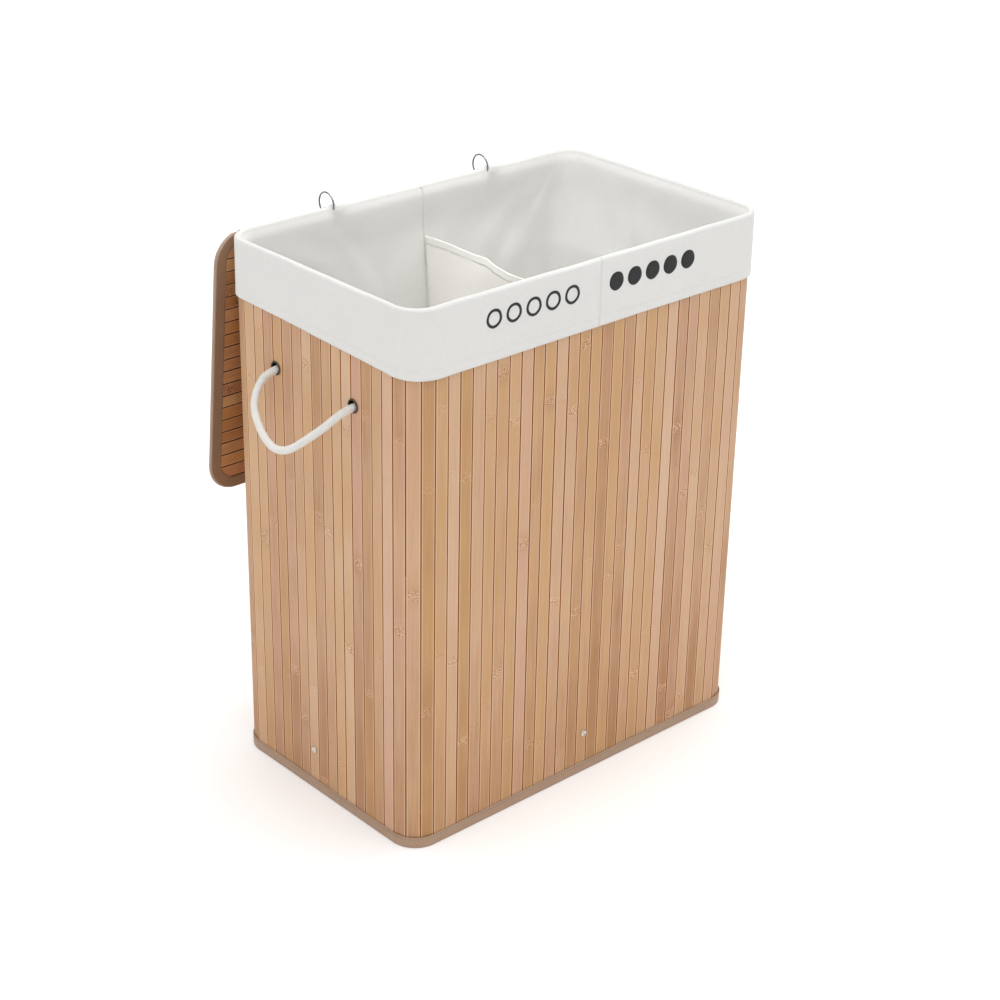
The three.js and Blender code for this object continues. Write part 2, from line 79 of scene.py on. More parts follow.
# Wall and its two bindings
HALF_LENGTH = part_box("right_slats")[1].x
HALF_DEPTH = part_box("back_slats")[1].y
SLAT_THICKNESS = HALF_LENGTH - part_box("right_slats")[0].x
SLAT_BOTTOM, SLAT_TOP = level_range("front_slats")
CUFF_BOTTOM, RIM = level_range("liner_left_cuff")
BINDING_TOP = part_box("bottom_binding")[1].z
BINDING_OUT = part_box("bottom_binding")[1].x - HALF_LENGTH
BINDING_INSIDE = 2.2 * MM
BINDING_THICKNESS = 0.8 * MM
BINDING_FOLD = 1.2 * MM
BINDING_LIP = 0.15 * MM
BINDING_LIP_RISE = 0.1 * MM
BINDING_WAVE = 0.22 * MM
TOP_BINDING_THICKNESS = 0.6 * MM
CUFF_OUT = -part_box("liner_left_cuff")[0].x - HALF_LENGTH
BIN_OUT = -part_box("liner_left_bin")[0].x - HALF_LENGTH
BIN_BOTTOM, BIN_FLOOR = level_range("liner_left_floor")

# Slats
SLAT_GAP = 1.1 * MM
SLAT_PITCH = 16.4 * MM
SLAT_EDGE = 0.55 * MM
SLAT_CROWN = 0.12 * MM
JOINT_SHIFT = 0.5 * MM
JOINT_WANDER = 0.13 * MM
CORNER_SLATS = 3
CORNER_BROWNER = 0.26
SLAT_ROWS = 16
CORNER = HALF_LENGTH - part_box("front_slats")[1].x - SLAT_GAP / 2
STRAIGHT_X = HALF_LENGTH - CORNER
STRAIGHT_Y = HALF_DEPTH - CORNER
QUARTER = CORNER * math.pi / 2

# Cloth
CLOTH = 1.0 * MM
SEAT = 0.3 * MM
END_SLACK = -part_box("liner_left_bin")[0].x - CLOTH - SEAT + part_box("liner_left_floor")[0].x
SIDE_SLACK = 4.4 * MM
SLOPE_END = RIM - 112 * MM
CUFF_EDGE_MM = [
    (0, 555.1), (110, 554.4), (220, 553.7), (288, 557.0), (400, 561.3), (517, 564.5), (600, 565.0),
    (791, 562.5), (1000, 562.5), (1080, 562.0), (1300, 557.5), (1362, 555.4), (1583, 555.1),
]
CUFF_EDGE_WAVE = 0.35 * MM
CUFF_SLOW_WAVE = 0.35 * MM
CUFF_QUICK_WAVE = 0.12 * MM
CUFF_LIFT = 0.35 * MM
TURN_OUT = (CUFF_OUT + BIN_OUT - CLOTH) / 2
TURN_RADIUS = (CUFF_OUT - BIN_OUT) / 2
TURN_LEVEL = RIM - CLOTH / 2 - TURN_RADIUS
FOLD_SHARE = 0.546
FOLD_START = 60 * MM
DRAPE_DEPTH = 2.6 * MM
LUMP_DEPTH = 1.2 * MM
# Creases seen in the photograph: wall, two ends along it and up, depth, and reach on each side
CREASES_MM = [
    ("back", 238, 626, 196, 556, 3.0, 7, 38), ("back", 205, 596, 150, 580, 1.4, 12, 14),
    ("back", 60, 618, 178, 606, 1.2, 9, 16), ("back", 150, 590, 128, 530, 1.5, 18, 14),
    ("back", 170, 540, 155, 470, 3.4, 14, 24), ("right", -30, 600, -5, 545, 3.0, 14, 18),
    ("right", -80, 612, -60, 560, 2.4, 10, 16), ("back", -200, 600, -120, 560, 2.6, 12, 18),
    ("back", -120, 600, -60, 520, 2.4, 18, 12), ("left", 20, 590, -50, 500, 2.6, 14, 20),
]
SMALL_CREASES = 46
SMALL_CREASE_SLOPE = (0.2, 2.9)
SMALL_CREASE_MM = {
    "level": (60, 570), "run": (40, 110), "depth": (1.6, 3.6), "near": (5, 14), "far": (12, 34),
}
RIM_WAVE = 0.35 * MM
RIM_ROLL = 2.4 * MM
RIM_ROLL_HEIGHT = 10 * MM
RIM_ROLL_END = 52 * MM
# Height below the rim over which the liner cloth is painted darker, a painted shade on its upward-facing fold
RIM_FOLD_SHADE = 3.5 * MM
HEM_HEIGHT = 10 * MM
HEM_DIMPLE = 0.35 * MM
HEM_DIMPLE_REACH = 1.1 * MM
BACK_SEAM_SHIFT = 14 * MM
BACK_SEAM_LEAN = 0.055
DIVIDER_CREST = 575 * MM
DIVIDER_CREST_MM = [
    (-151, 571.5), (-80, 570.5), (-33, 570.0), (-6, 569.2), (14, 570.8), (33, 575.0), (56, 572.2),
    (78, 571.2), (110, 570.6), (151, 569.0),
]
DIVIDER_HEM = 9 * MM
DIVIDER_SWAY = 3.0 * MM
DIVIDER_RIPPLE = 1.2 * MM
DIVIDER_STITCH_RISE = 1.6 * MM
DIVIDER_STITCH_OUT = 0.5 * MM
DIVIDER_STITCH_END = 4 * MM
SEAM_DIP = 0.4 * MM
SEAM_REACH = 2.4 * MM
BACKING_CLOTH = 0.5 * MM
BACKING_SEAM = 0.5 * MM
BASE_WAVE = 0.12 * MM
FLOOR_HILLS = 0.8 * MM
LINING_WAVE = 0.1 * MM
STITCH_PITCH = 3.6 * MM
STITCH_LENGTH = 2.5 * MM
STITCH_RADIUS = 0.28 * MM
# Place along a stitch, girth and lift there, as shares of its length and its radius
STITCH_SHAPE = (
    (-0.5, 0.45, -0.9), (-0.36, 0.9, -0.2), (0.0, 1.0, 0.15), (0.36, 0.9, -0.2), (0.5, 0.45, -0.9),
)
TAPE_STITCH_PITCH = 4.6 * MM
TAPE_STITCH_LENGTH = 3.3 * MM
TAPE_STITCH_RADIUS = 0.3 * MM
TAPE_STITCH_INSET = 2.4 * MM

# Waves of cloth and tape: about how long they are in millimetres, and a seed for their pattern
WAVES = {
    "binding": (70, 5),
    "rim": (100, 7),
    "cuff edge": (160, 11),
    "slow cuff": (120, 23),
    "quick cuff": (35, 29),
    "drapes": (120, 31),
    "lumps": (75, 37),
    "floor": (130, 43),
    "divider sway": (160, 47),
    "divider ripple": (60, 53),
    "divider hem": (20, 59),
    "lid tape": (50, 61),
    "base": (90, 83),
    "lining": (70, 89),
}
SLAT_WANDER_LENGTH = 350 * MM

# Marks sewn on the cuff: open rings for one bin and solid discs for the other
MARK_COUNT = 5
MARK_RADIUS = 10.5 * MM
MARK_STROKE = 3.2 * MM
MARK_HEART = 0.12 * MM
MARK_PITCH = 27 * MM
MARK_LEVEL = 600 * MM
MARK_RAISE = 0.55 * MM
LEFT_MARKS_CENTRE = -95 * MM
RIGHT_MARKS_CENTRE = 77 * MM

# Rope handles: along the wall, and down the plane of the loop
ROPE_DIAMETER = 8.5 * MM
ROPE_DROP_IN_EYELET = 1.5 * MM
HANDLE_TILT = 40 * DEGREE
KNOT_RADIUS = 9 * MM
KNOT_STRAND = 3.3 * MM
ROPE_ROUTE_MM = [
    (-65.5, 0), (-62, 8), (-57.5, 16), (-52.5, 25.5), (-46.5, 34.5), (-40.5, 43), (-34, 51.5),
    (-27.5, 60), (-20, 66.5), (-10, 70.5), (1, 71), (12, 68.5), (23, 64.5), (34, 59), (44, 53),
    (53.5, 46.5), (61, 38.5), (66, 28.5), (68.5, 18), (68, 8), (65.5, 0),
]
HANDLE_AXIS = Vector(next(j for j in frame["joints"] if j["name"] == "left_handle_swing")["pos_m"])
ROPE_STEP = 1.3 * MM
ROPE_SIDES = 20
ROPE_EASE = 5.5 * MM
ROPE_INSIDE = 3 * MM
ROPE_STRANDS = 8
ROPE_STRAND_RUN = 1.1 * MM

# Lid
LID_AXIS = Vector(next(j for j in frame["joints"] if j["name"] == "lid_swing")["pos_m"])
LID_LEAN = 6 * DEGREE
LID_MARGIN = 6 * MM
LID_THICKNESS = 4.5 * MM
LID_EDGE_DROP = 3 * MM
LID_HALF_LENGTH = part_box("lid_binding")[1].x
LID_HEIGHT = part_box("lid_binding")[1].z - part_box("lid_binding")[0].z
LID_DEPTH = (LID_HEIGHT - LID_THICKNESS * math.sin(LID_LEAN)) / math.cos(LID_LEAN)
LID_CORNER = CORNER + 6 * MM
LID_TAPE = 0.5 * MM
LID_TAPE_WIDTH = 14.5 * MM
LID_TAPE_RIPPLE = 0.12 * MM
# Where the lid tape's fold lies round its profile, and the reach of a painted highlight along it
LID_FOLD_RUN = LID_TAPE_WIDTH + LID_THICKNESS / 2 * (math.pi / 2 - 1)
LID_FOLD_HIGHLIGHT_REACH = 4.4 * MM
LID_SLAT_PITCH = 15.1 * MM
LID_SLAT_THICKNESS = 1.4 * MM
RING_WIRE = 1.0 * MM
RING_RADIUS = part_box("left_lid_ring")[1].z - middle("left_lid_ring").z - RING_WIRE
PUCKER_ASIDE = 3 * MM
PUCKER_NEAR = 5 * MM
PUCKER_FAR = 15 * MM
PUCKER_DROP = 22 * MM
PUCKER_RISE = 3.6 * MM
RING_INSIDE = middle("left_lid_ring").y - RING_RADIUS - RING_WIRE
PUCKER_OUT = HALF_DEPTH + BIN_OUT - CLOTH - RING_INSIDE + 1 * MM
LID_HOLE_ROOM = 0.7 * MM
LID_HOLE_RUN = 20 * MM
LID_EYELET_BORE = 4 * MM
LID_EYELET_FLANGE = 6 * MM
LID_EYELET_RISE = 0.9 * MM
LID_EYELET_SEAT = 0.1 * MM

# Eyelets and rivets
EYELET_BORE = ROPE_DIAMETER / 2 + 1.8 * MM
HOLE_ROOM = 0.9 * MM
HOLE_RUN = 40 * MM
EYELET_RADIUS = 8 * MM
EYELET_RISE = 1.2 * MM
EYELET_METAL = 0.5 * MM
EYELET_LIP = 0.3 * MM
RIVET_RADIUS = 4.2 * MM
RIVET_RISE = 1.6 * MM
RIVET_SHANK = 1.8 * MM

# How finely the meshes are divided
SKIRT_SHARES = np.concatenate([[0, 0.04, 0.08, 0.11, 0.128, 0.146, 0.18], np.linspace(0.24, 1, 12)])
TURN_SHARES = np.linspace(0, 1, 9)[1:-1]
INSIDE_SHARES = np.linspace(0, 1, 112) ** 1.4
LINER_COLUMNS = 330
DIVIDER_COLUMNS, DIVIDER_ROWS = 110, 74
DIVIDER_HEM_COLUMNS = 130
BIN_FLOOR_COLUMNS, BIN_FLOOR_ROWS = 40, 48
BASE_STEPS = 60
LINING_COLUMNS, LINING_ROWS = 60, 80
BACKING_COLUMNS = 320
BOTTOM_BINDING_LAPS = 460
TOP_BINDING_LAPS = 420
LID_BINDING_LAPS = 420
MARK_COLUMNS = 72
KNOT_STEPS, KNOT_SIDES = 60, 12
RING_STEPS, RING_SIDES = 97, 14

# Camera, fitted to the photograph
CAMERA_PLACE = (-1.5113, -1.6575, 1.3827)
CAMERA_AZIMUTH = -42.504 * DEGREE
CAMERA_ELEVATION = 25.9 * DEGREE
CAMERA_ROLL = 1.16 * DEGREE
CAMERA_LENS = 78.006
CAMERA_SENSOR = 36


def linked(name, data):
    made = bpy.data.objects.new(name, data)
    bpy.context.scene.collection.objects.link(made)
    return made


def make_camera():
    data = bpy.data.cameras.new("camera")
    data.lens = CAMERA_LENS
    data.sensor_width = CAMERA_SENSOR
    camera = linked("camera", data)
    turn = Matrix.Rotation(CAMERA_AZIMUTH, 4, "Z")
    tip = Matrix.Rotation(math.pi / 2 - CAMERA_ELEVATION, 4, "X")
    roll = Matrix.Rotation(CAMERA_ROLL, 4, "Z")
    camera.matrix_world = Matrix.Translation(CAMERA_PLACE) @ turn @ tip @ roll
    bpy.context.scene.camera = camera


def circle(angles, side, other, size=1):
    return np.outer(np.cos(angles) * size, side) + np.outer(np.sin(angles) * size, other)


class Shell:
    """Gathers grids of points into one mesh, with a place on the cloth or tape at each point."""

    def __init__(self):
        self.points = []
        self.faces = []
        self.places = []
        self.count = 0

    def grid(self, points, wrap_rows=False, wrap_columns=False, capped=False, places=None):
        points = np.asarray(points, float)
        rows, columns = points.shape[:2]
        index = self.count + np.arange(rows * columns).reshape(rows, columns)
        low = index if wrap_rows else index[:-1]
        high = np.roll(index, -1, 0) if wrap_rows else index[1:]
        if wrap_columns:
            low_next = np.roll(low, -1, 1)
            high_next = np.roll(high, -1, 1)
        else:
            low_next, high_next = low[:, 1:], high[:, 1:]
            low, high = low[:, :-1], high[:, :-1]
        self.faces.extend(np.stack([low, low_next, high_next, high], -1).reshape(-1, 4).tolist())
        if capped:
            self.faces.append(index[0][::-1].tolist())
            self.faces.append(index[-1].tolist())
        self.points.append(points.reshape(-1, 3))
        if places is None:
            places = np.zeros((rows, columns, 2))
        self.places.append(np.asarray(places, float).reshape(-1, 2))
        self.count += rows * columns

    def made(self, name, smooth=True):
        mesh = bpy.data.meshes.new(name)
        mesh.from_pydata(np.concatenate(self.points).tolist(), [], self.faces)
        spread = np.concatenate(self.places)
        values = np.column_stack([spread, np.zeros(len(spread))])
        attribute = mesh.attributes.new("cloth_place", "FLOAT_VECTOR", "POINT")
        attribute.data.foreach_set("vector", values.ravel().astype(np.float32))
        faces = bmesh.new()
        faces.from_mesh(mesh)
        bmesh.ops.recalc_face_normals(faces, faces=faces.faces)
        faces.to_mesh(mesh)
        faces.free()
        mesh.polygons.foreach_set("use_smooth", [smooth] * len(mesh.polygons))
        return linked(name, mesh)


def grid_piece(name, points, smooth=True, **how):
    shell = Shell()
    shell.grid(points, **how)
    return shell.made(name, smooth)


def runs(points):
    """The distance travelled along a line of points, at each of them."""
    return np.concatenate([[0], np.cumsum(np.linalg.norm(np.diff(points, axis=0), axis=1))])


def tape_places(distances, profile):
    """Places on a tape: along it, and round its profile."""
    return np.stack(np.meshgrid(distances, runs(profile), indexing="ij"), -1)


def cloth_piece(name, rows, places, thickness, material, slot, *replaced):
    """A sheet of cloth on the basket, with half its thickness to each side."""
    piece = grid_piece(name, rows, places=places)
    modifier = piece.modifiers.new("thickness", "SOLIDIFY")
    modifier.thickness = thickness
    modifier.offset = 0
    return dressed(piece, material, "basket", slot, *replaced)


def dressed(piece, material, body, slot, *replaced):
    """Gives a piece its material and its body, and hides the nodes it stands for; the slot is not used."""
    piece.data.materials.clear()
    piece.data.materials.append(material)
    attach(piece, body)
    if replaced:
        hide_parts(*replaced)
    return piece


def outline_marks(straight_x, straight_y, corner):
    """Distances round a rounded rectangle, from the middle of a long side, to where its parts meet."""
    long, short, quarter = 2 * straight_x, 2 * straight_y, corner * math.pi / 2
    return np.cumsum([0, long / 2, quarter, short, quarter, long, quarter, short, quarter, long / 2])


# The wall's outline runs from the middle of the front, first to the left, and its corners are quarter circles
WALL_MARKS = outline_marks(STRAIGHT_X, STRAIGHT_Y, CORNER)
WALL_ROUND = WALL_MARKS[-1]
WALL_CENTRES_X = np.array([0, -1, -1, -1, -1, 1, 1, 1, 1, 0]) * STRAIGHT_X
WALL_CENTRES_Y = np.array([-1, -1, -1, 1, 1, 1, 1, -1, -1, -1]) * STRAIGHT_Y
WALL_QUARTERS = np.array([3, 3, 2, 2, 1, 1, 0, 0, -1, -1]) * math.pi / 2


def wall_points(distance, out, level, slack=0.0):
    """Points round the wall, out from the slats' outer face; slack draws them in as the bins narrow."""
    distance, out, level, slack = np.broadcast_arrays(distance, out, level, slack)
    place = np.mod(distance, WALL_ROUND)
    angle = np.interp(place, WALL_MARKS, WALL_QUARTERS)
    centre_x = np.interp(place, WALL_MARKS, WALL_CENTRES_X) * (1 - slack * END_SLACK / STRAIGHT_X)
    centre_y = np.interp(place, WALL_MARKS, WALL_CENTRES_Y) * (1 - slack * SIDE_SLACK / STRAIGHT_Y)
    reach = CORNER + out
    return np.stack([centre_x + reach * np.cos(angle), centre_y + reach * np.sin(angle), level], -1)


def soft_noise(u, v, size, seed, waves=7):
    """Smooth waves of about one size, from -1 to 1, the same each time for a seed."""
    source = random.Random(seed)
    total = np.zeros(np.broadcast(u, v).shape)
    for _ in range(waves):
        angle = source.uniform(0, math.tau)
        stretch = source.uniform(0.6, 1.7)
        phase = source.uniform(0, math.tau)
        along = u * math.cos(angle) + v * math.sin(angle)
        total = total + np.sin(along * math.tau * stretch / size + phase)
    return total / waves * 1.6


def wavy(kind, u, v):
    """One kind of the waves named at the top, from -1 to 1."""
    size, seed = WAVES[kind]
    return soft_noise(u, v, size * MM, seed)


def smooth_step(value):
    value = np.clip(value, 0, 1)
    return value * value * (3 - 2 * value)


# Materials

BAMBOO_RELIEF = 0.06 * MM
# All of the slats' shine comes from the satin varnish on their faces
VARNISH = 0.84
VARNISH_ROUGHNESS = 0.47
METAL_RELIEF = 0.01 * MM
BRAID_PITCH = 2.9 * MM
BRAID_RELIEF = 0.35 * MM
THREAD_RELIEF = 0.12 * MM
BOARD_RELIEF = 0.1 * MM
SEWING_STRAND = 0.4 * MM
EMBROIDERY_STRAND = 0.45 * MM
BAMBOO_COLOURS = ("Pale", "Mid", "Deep", "Blush", "Gold", "Fleck_and_edge_highlight", "Side")


def linear(red, green, blue):
    """A colour as the eye reads it on a screen, turned into the light it stands for."""
    def one(value):
        value = value / 255
        return value / 12.92 if value < 0.04045 else ((value + 0.055) / 1.055) ** 2.4
    return one(red), one(green), one(blue), 1.0


def worked_out(operation, swapped=False):
    """What an arithmetic sign stands for between wires: a shader node."""
    def work(wire, other):
        pair = (other, wire) if swapped else (wire, other)
        return put(wire.tree, "Math", dict(enumerate(pair)), operation=operation)
    return work


class Wire:
    """One output of a shader node. Sums of wires are nodes too."""

    def __init__(self, socket):
        self.socket = socket
        self.tree = socket.id_data

    __add__ = __radd__ = worked_out("ADD")
    __mul__ = __rmul__ = worked_out("MULTIPLY")
    __sub__ = worked_out("SUBTRACT")
    __rtruediv__ = worked_out("DIVIDE", swapped=True)
    __truediv__ = worked_out("DIVIDE")

    def turned(self, operation, *others):
        return put(self.tree, "Math", dict(enumerate((self, *others))), operation=operation)

    def stretched(self, *factors):
        return put(self.tree, "VectorMath", {0: self, 1: factors}, operation="MULTIPLY")

    def axes(self):
        return [put(self.tree, "SeparateXYZ", {0: self}, axis) for axis in "XYZ"]


def feed(entry, value):
    """Links a wire to a node's input, or sets the input to a plain value."""
    if isinstance(value, Wire):
        value.tree.links.new(value.socket, entry)
    else:
        entry.default_value = value


def put(tree, kind, feeds=None, output=0, **settings):
    """Adds a node, sets and feeds it, and gives one of its outputs."""
    made = tree.nodes.new("ShaderNode" + kind)
    for name, value in settings.items():
        setattr(made, name, value)
    for key, value in (feeds or {}).items():
        feed(made.inputs[key], value)
    return Wire(made.outputs[output])


def between(share, first, second, way="MIX"):
    """Two colours mixed by a share."""
    tree = next(value.tree for value in (share, first, second) if isinstance(value, Wire))
    feeds = {0: share, 6: first, 7: second}
    return put(tree, "Mix", feeds, 2, data_type="RGBA", blend_type=way, clamp_factor=True)


def tinted(tone, colour):
    """A colour made lighter and darker by a tone."""
    return between(1.0, put(tone.tree, "CombineColor", {0: tone, 1: tone, 2: tone}), colour, "MULTIPLY")


def ranged(value, from_low, from_high, to_low=0.0, to_high=1.0, curve="SMOOTHSTEP"):
    feeds = dict(enumerate((value, from_low, from_high, to_low, to_high)))
    return put(value.tree, "MapRange", feeds, interpolation_type=curve)


def noise(place, scale, detail=3.0, roughness=0.5, distortion=0.0):
    feeds = {"Vector": place, "Scale": scale, "Detail": detail, "Roughness": roughness}
    return put(place.tree, "TexNoise", {**feeds, "Distortion": distortion}, "Fac")


def attribute(tree, name, output="Fac"):
    return put(tree, "Attribute", output=output, attribute_name=name)


def on_cloth(tree):
    return attribute(tree, "cloth_place", "Vector")


def on_object(tree):
    return put(tree, "TexCoord", output="Object")


def chance_at(*steps):
    """A random share for each set of steps."""
    pick = put(steps[0].tree, "CombineXYZ", dict(enumerate(steps)))
    return put(pick.tree, "TexWhiteNoise", {"Vector": pick}, "Value", noise_dimensions="3D")


def new_group(name, inputs, outputs):
    """A shader node group with named sockets: its tree, its input wires and the inputs of its end."""
    tree = bpy.data.node_groups.new(name, "ShaderNodeTree")
    for way, sockets in (("INPUT", inputs), ("OUTPUT", outputs)):
        for label, kind in sockets.items():
            tree.interface.new_socket(label, in_out=way, socket_type="NodeSocket" + kind)
    entry = tree.nodes.new("NodeGroupInput").outputs
    return tree, {label: Wire(entry[label]) for label in inputs}, tree.nodes.new("NodeGroupOutput").inputs


def use_group(tree, group, **feeds):
    """Places a group in a tree, and gives its outputs by name."""
    made = tree.nodes.new("ShaderNodeGroup")
    made.node_tree = group
    for key, value in feeds.items():
        feed(made.inputs[key], value)
    return {socket.name: Wire(socket) for socket in made.outputs}


def cloudy_group():
    """Slow clouds of light and dark, as hands, folds and dust leave on a surface."""
    inputs = {"Place": "Vector", "Size": "Float", "Strength": "Float"}
    tree, entry, leaving = new_group("cloudy tone", inputs, {"Tone": "Float"})
    clouds = noise(entry["Place"], 1.0 / entry["Size"], 4.0, 0.55, 0.4)
    feed(leaving["Tone"], 1.0 + (clouds - 0.5) * entry["Strength"])
    return tree


def weave_group():
    """Plain weave of warp and weft threads, with slubs and uneven threads, and painted shade in the hollows
    between threads.
    """
    inputs = {"Place": "Vector", "Thread": "Float", "Slub": "Float"}
    tree, entry, leaving = new_group("plain weave", inputs, {"Height": "Float", "Tone": "Float"})
    place, thread = entry["Place"], entry["Thread"]
    x, y, _ = place.axes()
    count = math.pi / thread
    threads = ((x * count).turned("SINE") * (y * count).turned("SINE") + 1.0) * 0.5
    ways = (1.0, 0.05, 1.0), (0.05, 1.0, 1.0)
    warp, weft = (noise(place.stretched(*way), 0.8 / thread, 2.0) for way in ways)
    swing = (warp + weft - 1.0) * entry["Slub"]
    feed(leaving["Height"], threads + swing)
    # Tone: the hollows between threads are painted darker, a painted shade, and slubs and uneven threads shift it
    feed(leaving["Tone"], 0.96 + (threads * 0.08 + swing * 0.22))
    return tree


def bamboo_group():
    """Bamboo slats: long fibres, each slat's own tone, the speckled marks where the cane had its rings, painted
    shade towards the foot and a painted highlight along the edges.
    """
    inputs = dict.fromkeys(BAMBOO_COLOURS, "Color")
    outputs = {"Color": "Color", "Height": "Float", "Roughness": "Float", "Coat": "Float"}
    tree, entry, leaving = new_group("bamboo fibre", {**inputs, "Spacing": "Float", "Foot": "Float"}, outputs)
    x, height, side = attribute(tree, "slat_place", "Vector").axes()
    tone, hue, seed = (attribute(tree, f"slat_{kind}") for kind in ("tone", "hue", "seed"))
    shift = put(tree, "CombineXYZ", {2: seed * 31.7})
    own = put(tree, "VectorMath", {0: put(tree, "CombineXYZ", {0: x, 1: height}), 1: shift}, operation="ADD")

    # The cane's rings, and the length of cane between two of them
    cell = height / entry["Spacing"] + seed * 7.31
    whole = cell.turned("FLOOR")
    chance = chance_at(whole, seed)
    above = cell - whole - (0.5 + (chance - 0.5) * 0.5)
    cane = chance_at(whole + above.turned("GREATER_THAN", 0.0), seed, 0.37)

    # Fibres, and the slat's tone and hue
    fine = noise(own.stretched(1.0, 0.012, 1.0), 2600.0, 3.0, 0.6)
    broad = noise(own.stretched(1.0, 0.03, 1.0), 420.0, 2.0)
    slow = noise(own.stretched(0.3, 1.0, 1.0), 7.0, 2.0)
    streaks = fine * 0.45 + broad * 0.5 + slow * 0.5 + cane * 0.2
    # Painted shade: the slats are painted darker towards their foot, near the floor
    depth = tone + (streaks - 0.83) - ranged(height, 0.3, 0.0) * entry["Foot"]
    light_half = between(ranged(depth, 0.5, 1.0, curve="LINEAR"), entry["Mid"], entry["Pale"])
    wood = between(ranged(depth, 0.0, 0.5, curve="LINEAR"), entry["Deep"], light_half)
    blush = hue + (noise(own, 9.0, 1.0) - 0.5) * 0.9 + (cane - 0.5) * 0.3
    for end, colour in ((1.15, "Blush"), (-0.2, "Gold")):
        wood = between(ranged(blush, 0.35, end), wood, between(0.7, wood, entry[colour]))

    # Speckles and scorched places at the rings, a painted highlight along the slat's rounded edges, and its sides
    away = above.turned("ABSOLUTE") * entry["Spacing"] + (noise(own, 260.0, 2.0) - 0.5) * 0.012
    band = ranged(away, 0.008, 0.0035) * ranged(chance, 0.2, 0.8, 0.35, 1.0)
    speckle = noise(own, 760.0, 1.0, 0.6)
    pale_fleck = ranged(speckle, 0.53, 0.58) * band
    dark_fleck = ranged(speckle, 0.47, 0.42) * band
    scorched = ranged(away, 0.022, 0.0) * ranged(chance, 0.82, 0.9)
    edge = side.turned("ABSOLUTE")
    beside = ranged(edge, 0.945, 0.985)
    layers = (
        (scorched * 0.45, "Deep"), (pale_fleck * 0.8, "Fleck_and_edge_highlight"), (dark_fleck * 0.95, "Side"),
        # Painted highlight: a paler strip along each slat's rounded edges, in the pale fleck colour
        (ranged(edge, 0.78, 0.86) * 0.5, "Fleck_and_edge_highlight"), (beside, "Side"),
    )
    for share, colour in layers:
        wood = between(share, wood, entry[colour])
    feed(leaving["Color"], wood)
    feed(leaving["Coat"], ranged(beside, 0.0, 1.0, VARNISH, 0.0))
    feed(leaving["Height"], fine + pale_fleck * 0.7)
    feed(leaving["Roughness"], ranged(fine, 0.2, 0.8, 0.46, 0.6))
    return tree


def rubbed_group():
    """Fine rubbing on metal: a roughness that wanders and faint lines."""
    outputs = {"Roughness": "Float", "Height": "Float", "Tone": "Float"}
    tree, entry, leaving = new_group("rubbed metal", {"Low": "Float", "High": "Float"}, outputs)
    place = on_object(tree)
    clouds = noise(place, 180.0, 4.0, 0.6)
    feed(leaving["Height"], noise(place.stretched(1.0, 1.0, 0.1), 2600.0, 2.0))
    feed(leaving["Roughness"], ranged(clouds, 0.3, 0.7, entry["Low"], entry["High"]))
    feed(leaving["Tone"], ranged(clouds, 0.25, 0.75, 0.82, 1.12))
    return tree


def strand_group():
    """Fine parallel strands of a thread, painted darker between them as painted shade, and a little lighter or
    rougher in places.
    """
    outputs = {"Height": "Float", "Tone": "Float", "Roughness": "Float"}
    tree, entry, leaving = new_group("thread strands", {"Place": "Vector", "Strand": "Float"}, outputs)
    place = entry["Place"]
    lines = (place.axes()[1] * (math.tau / entry["Strand"])).turned("SINE")
    rough = noise(place, 1500.0, 2.0)
    feed(leaving["Height"], lines)
    # Tone: the grooves between strands are painted darker, a painted shade, and random noise lightens it in places
    feed(leaving["Tone"], ranged(lines + rough, -1.0, 2.0, 0.7, 1.15))
    feed(leaving["Roughness"], ranged(rough, 0.3, 0.7, 0.5, 0.7))
    return tree


cloudy = cloudy_group()
weave = weave_group()
bamboo_fibre = bamboo_group()
rubbed = rubbed_group()
strands = strand_group()


def new_material(name):
    material = bpy.data.materials.new(name)
    material.use_nodes = True
    return material, material.node_tree


def shaded(material, feeds, relief=None, rise=0.0):
    """Feeds the material's shader, with a relief and how far it rises."""
    tree = material.node_tree
    if relief:
        feeds["Normal"] = put(tree, "Bump", {"Height": relief, "Distance": rise, "Strength": 1.0})
    for key, value in feeds.items():
        feed(tree.nodes["Principled BSDF"].inputs[key], value)
    return material


def bamboo_material(name, colours, spacing, foot):
    material, tree = new_material(name)
    feeds = {label: linear(*colour) for label, colour in zip(BAMBOO_COLOURS, colours)}
    wood = use_group(tree, bamboo_fibre, Spacing=spacing, Foot=foot, **feeds)
    coat = {"Coat Weight": wood["Coat"], "Coat Roughness": VARNISH_ROUGHNESS, "Specular IOR Level": 0.0}
    looks = {"Base Color": wood["Color"], "Roughness": wood["Roughness"], **coat}
    return shaded(material, looks, wood["Height"], BAMBOO_RELIEF)


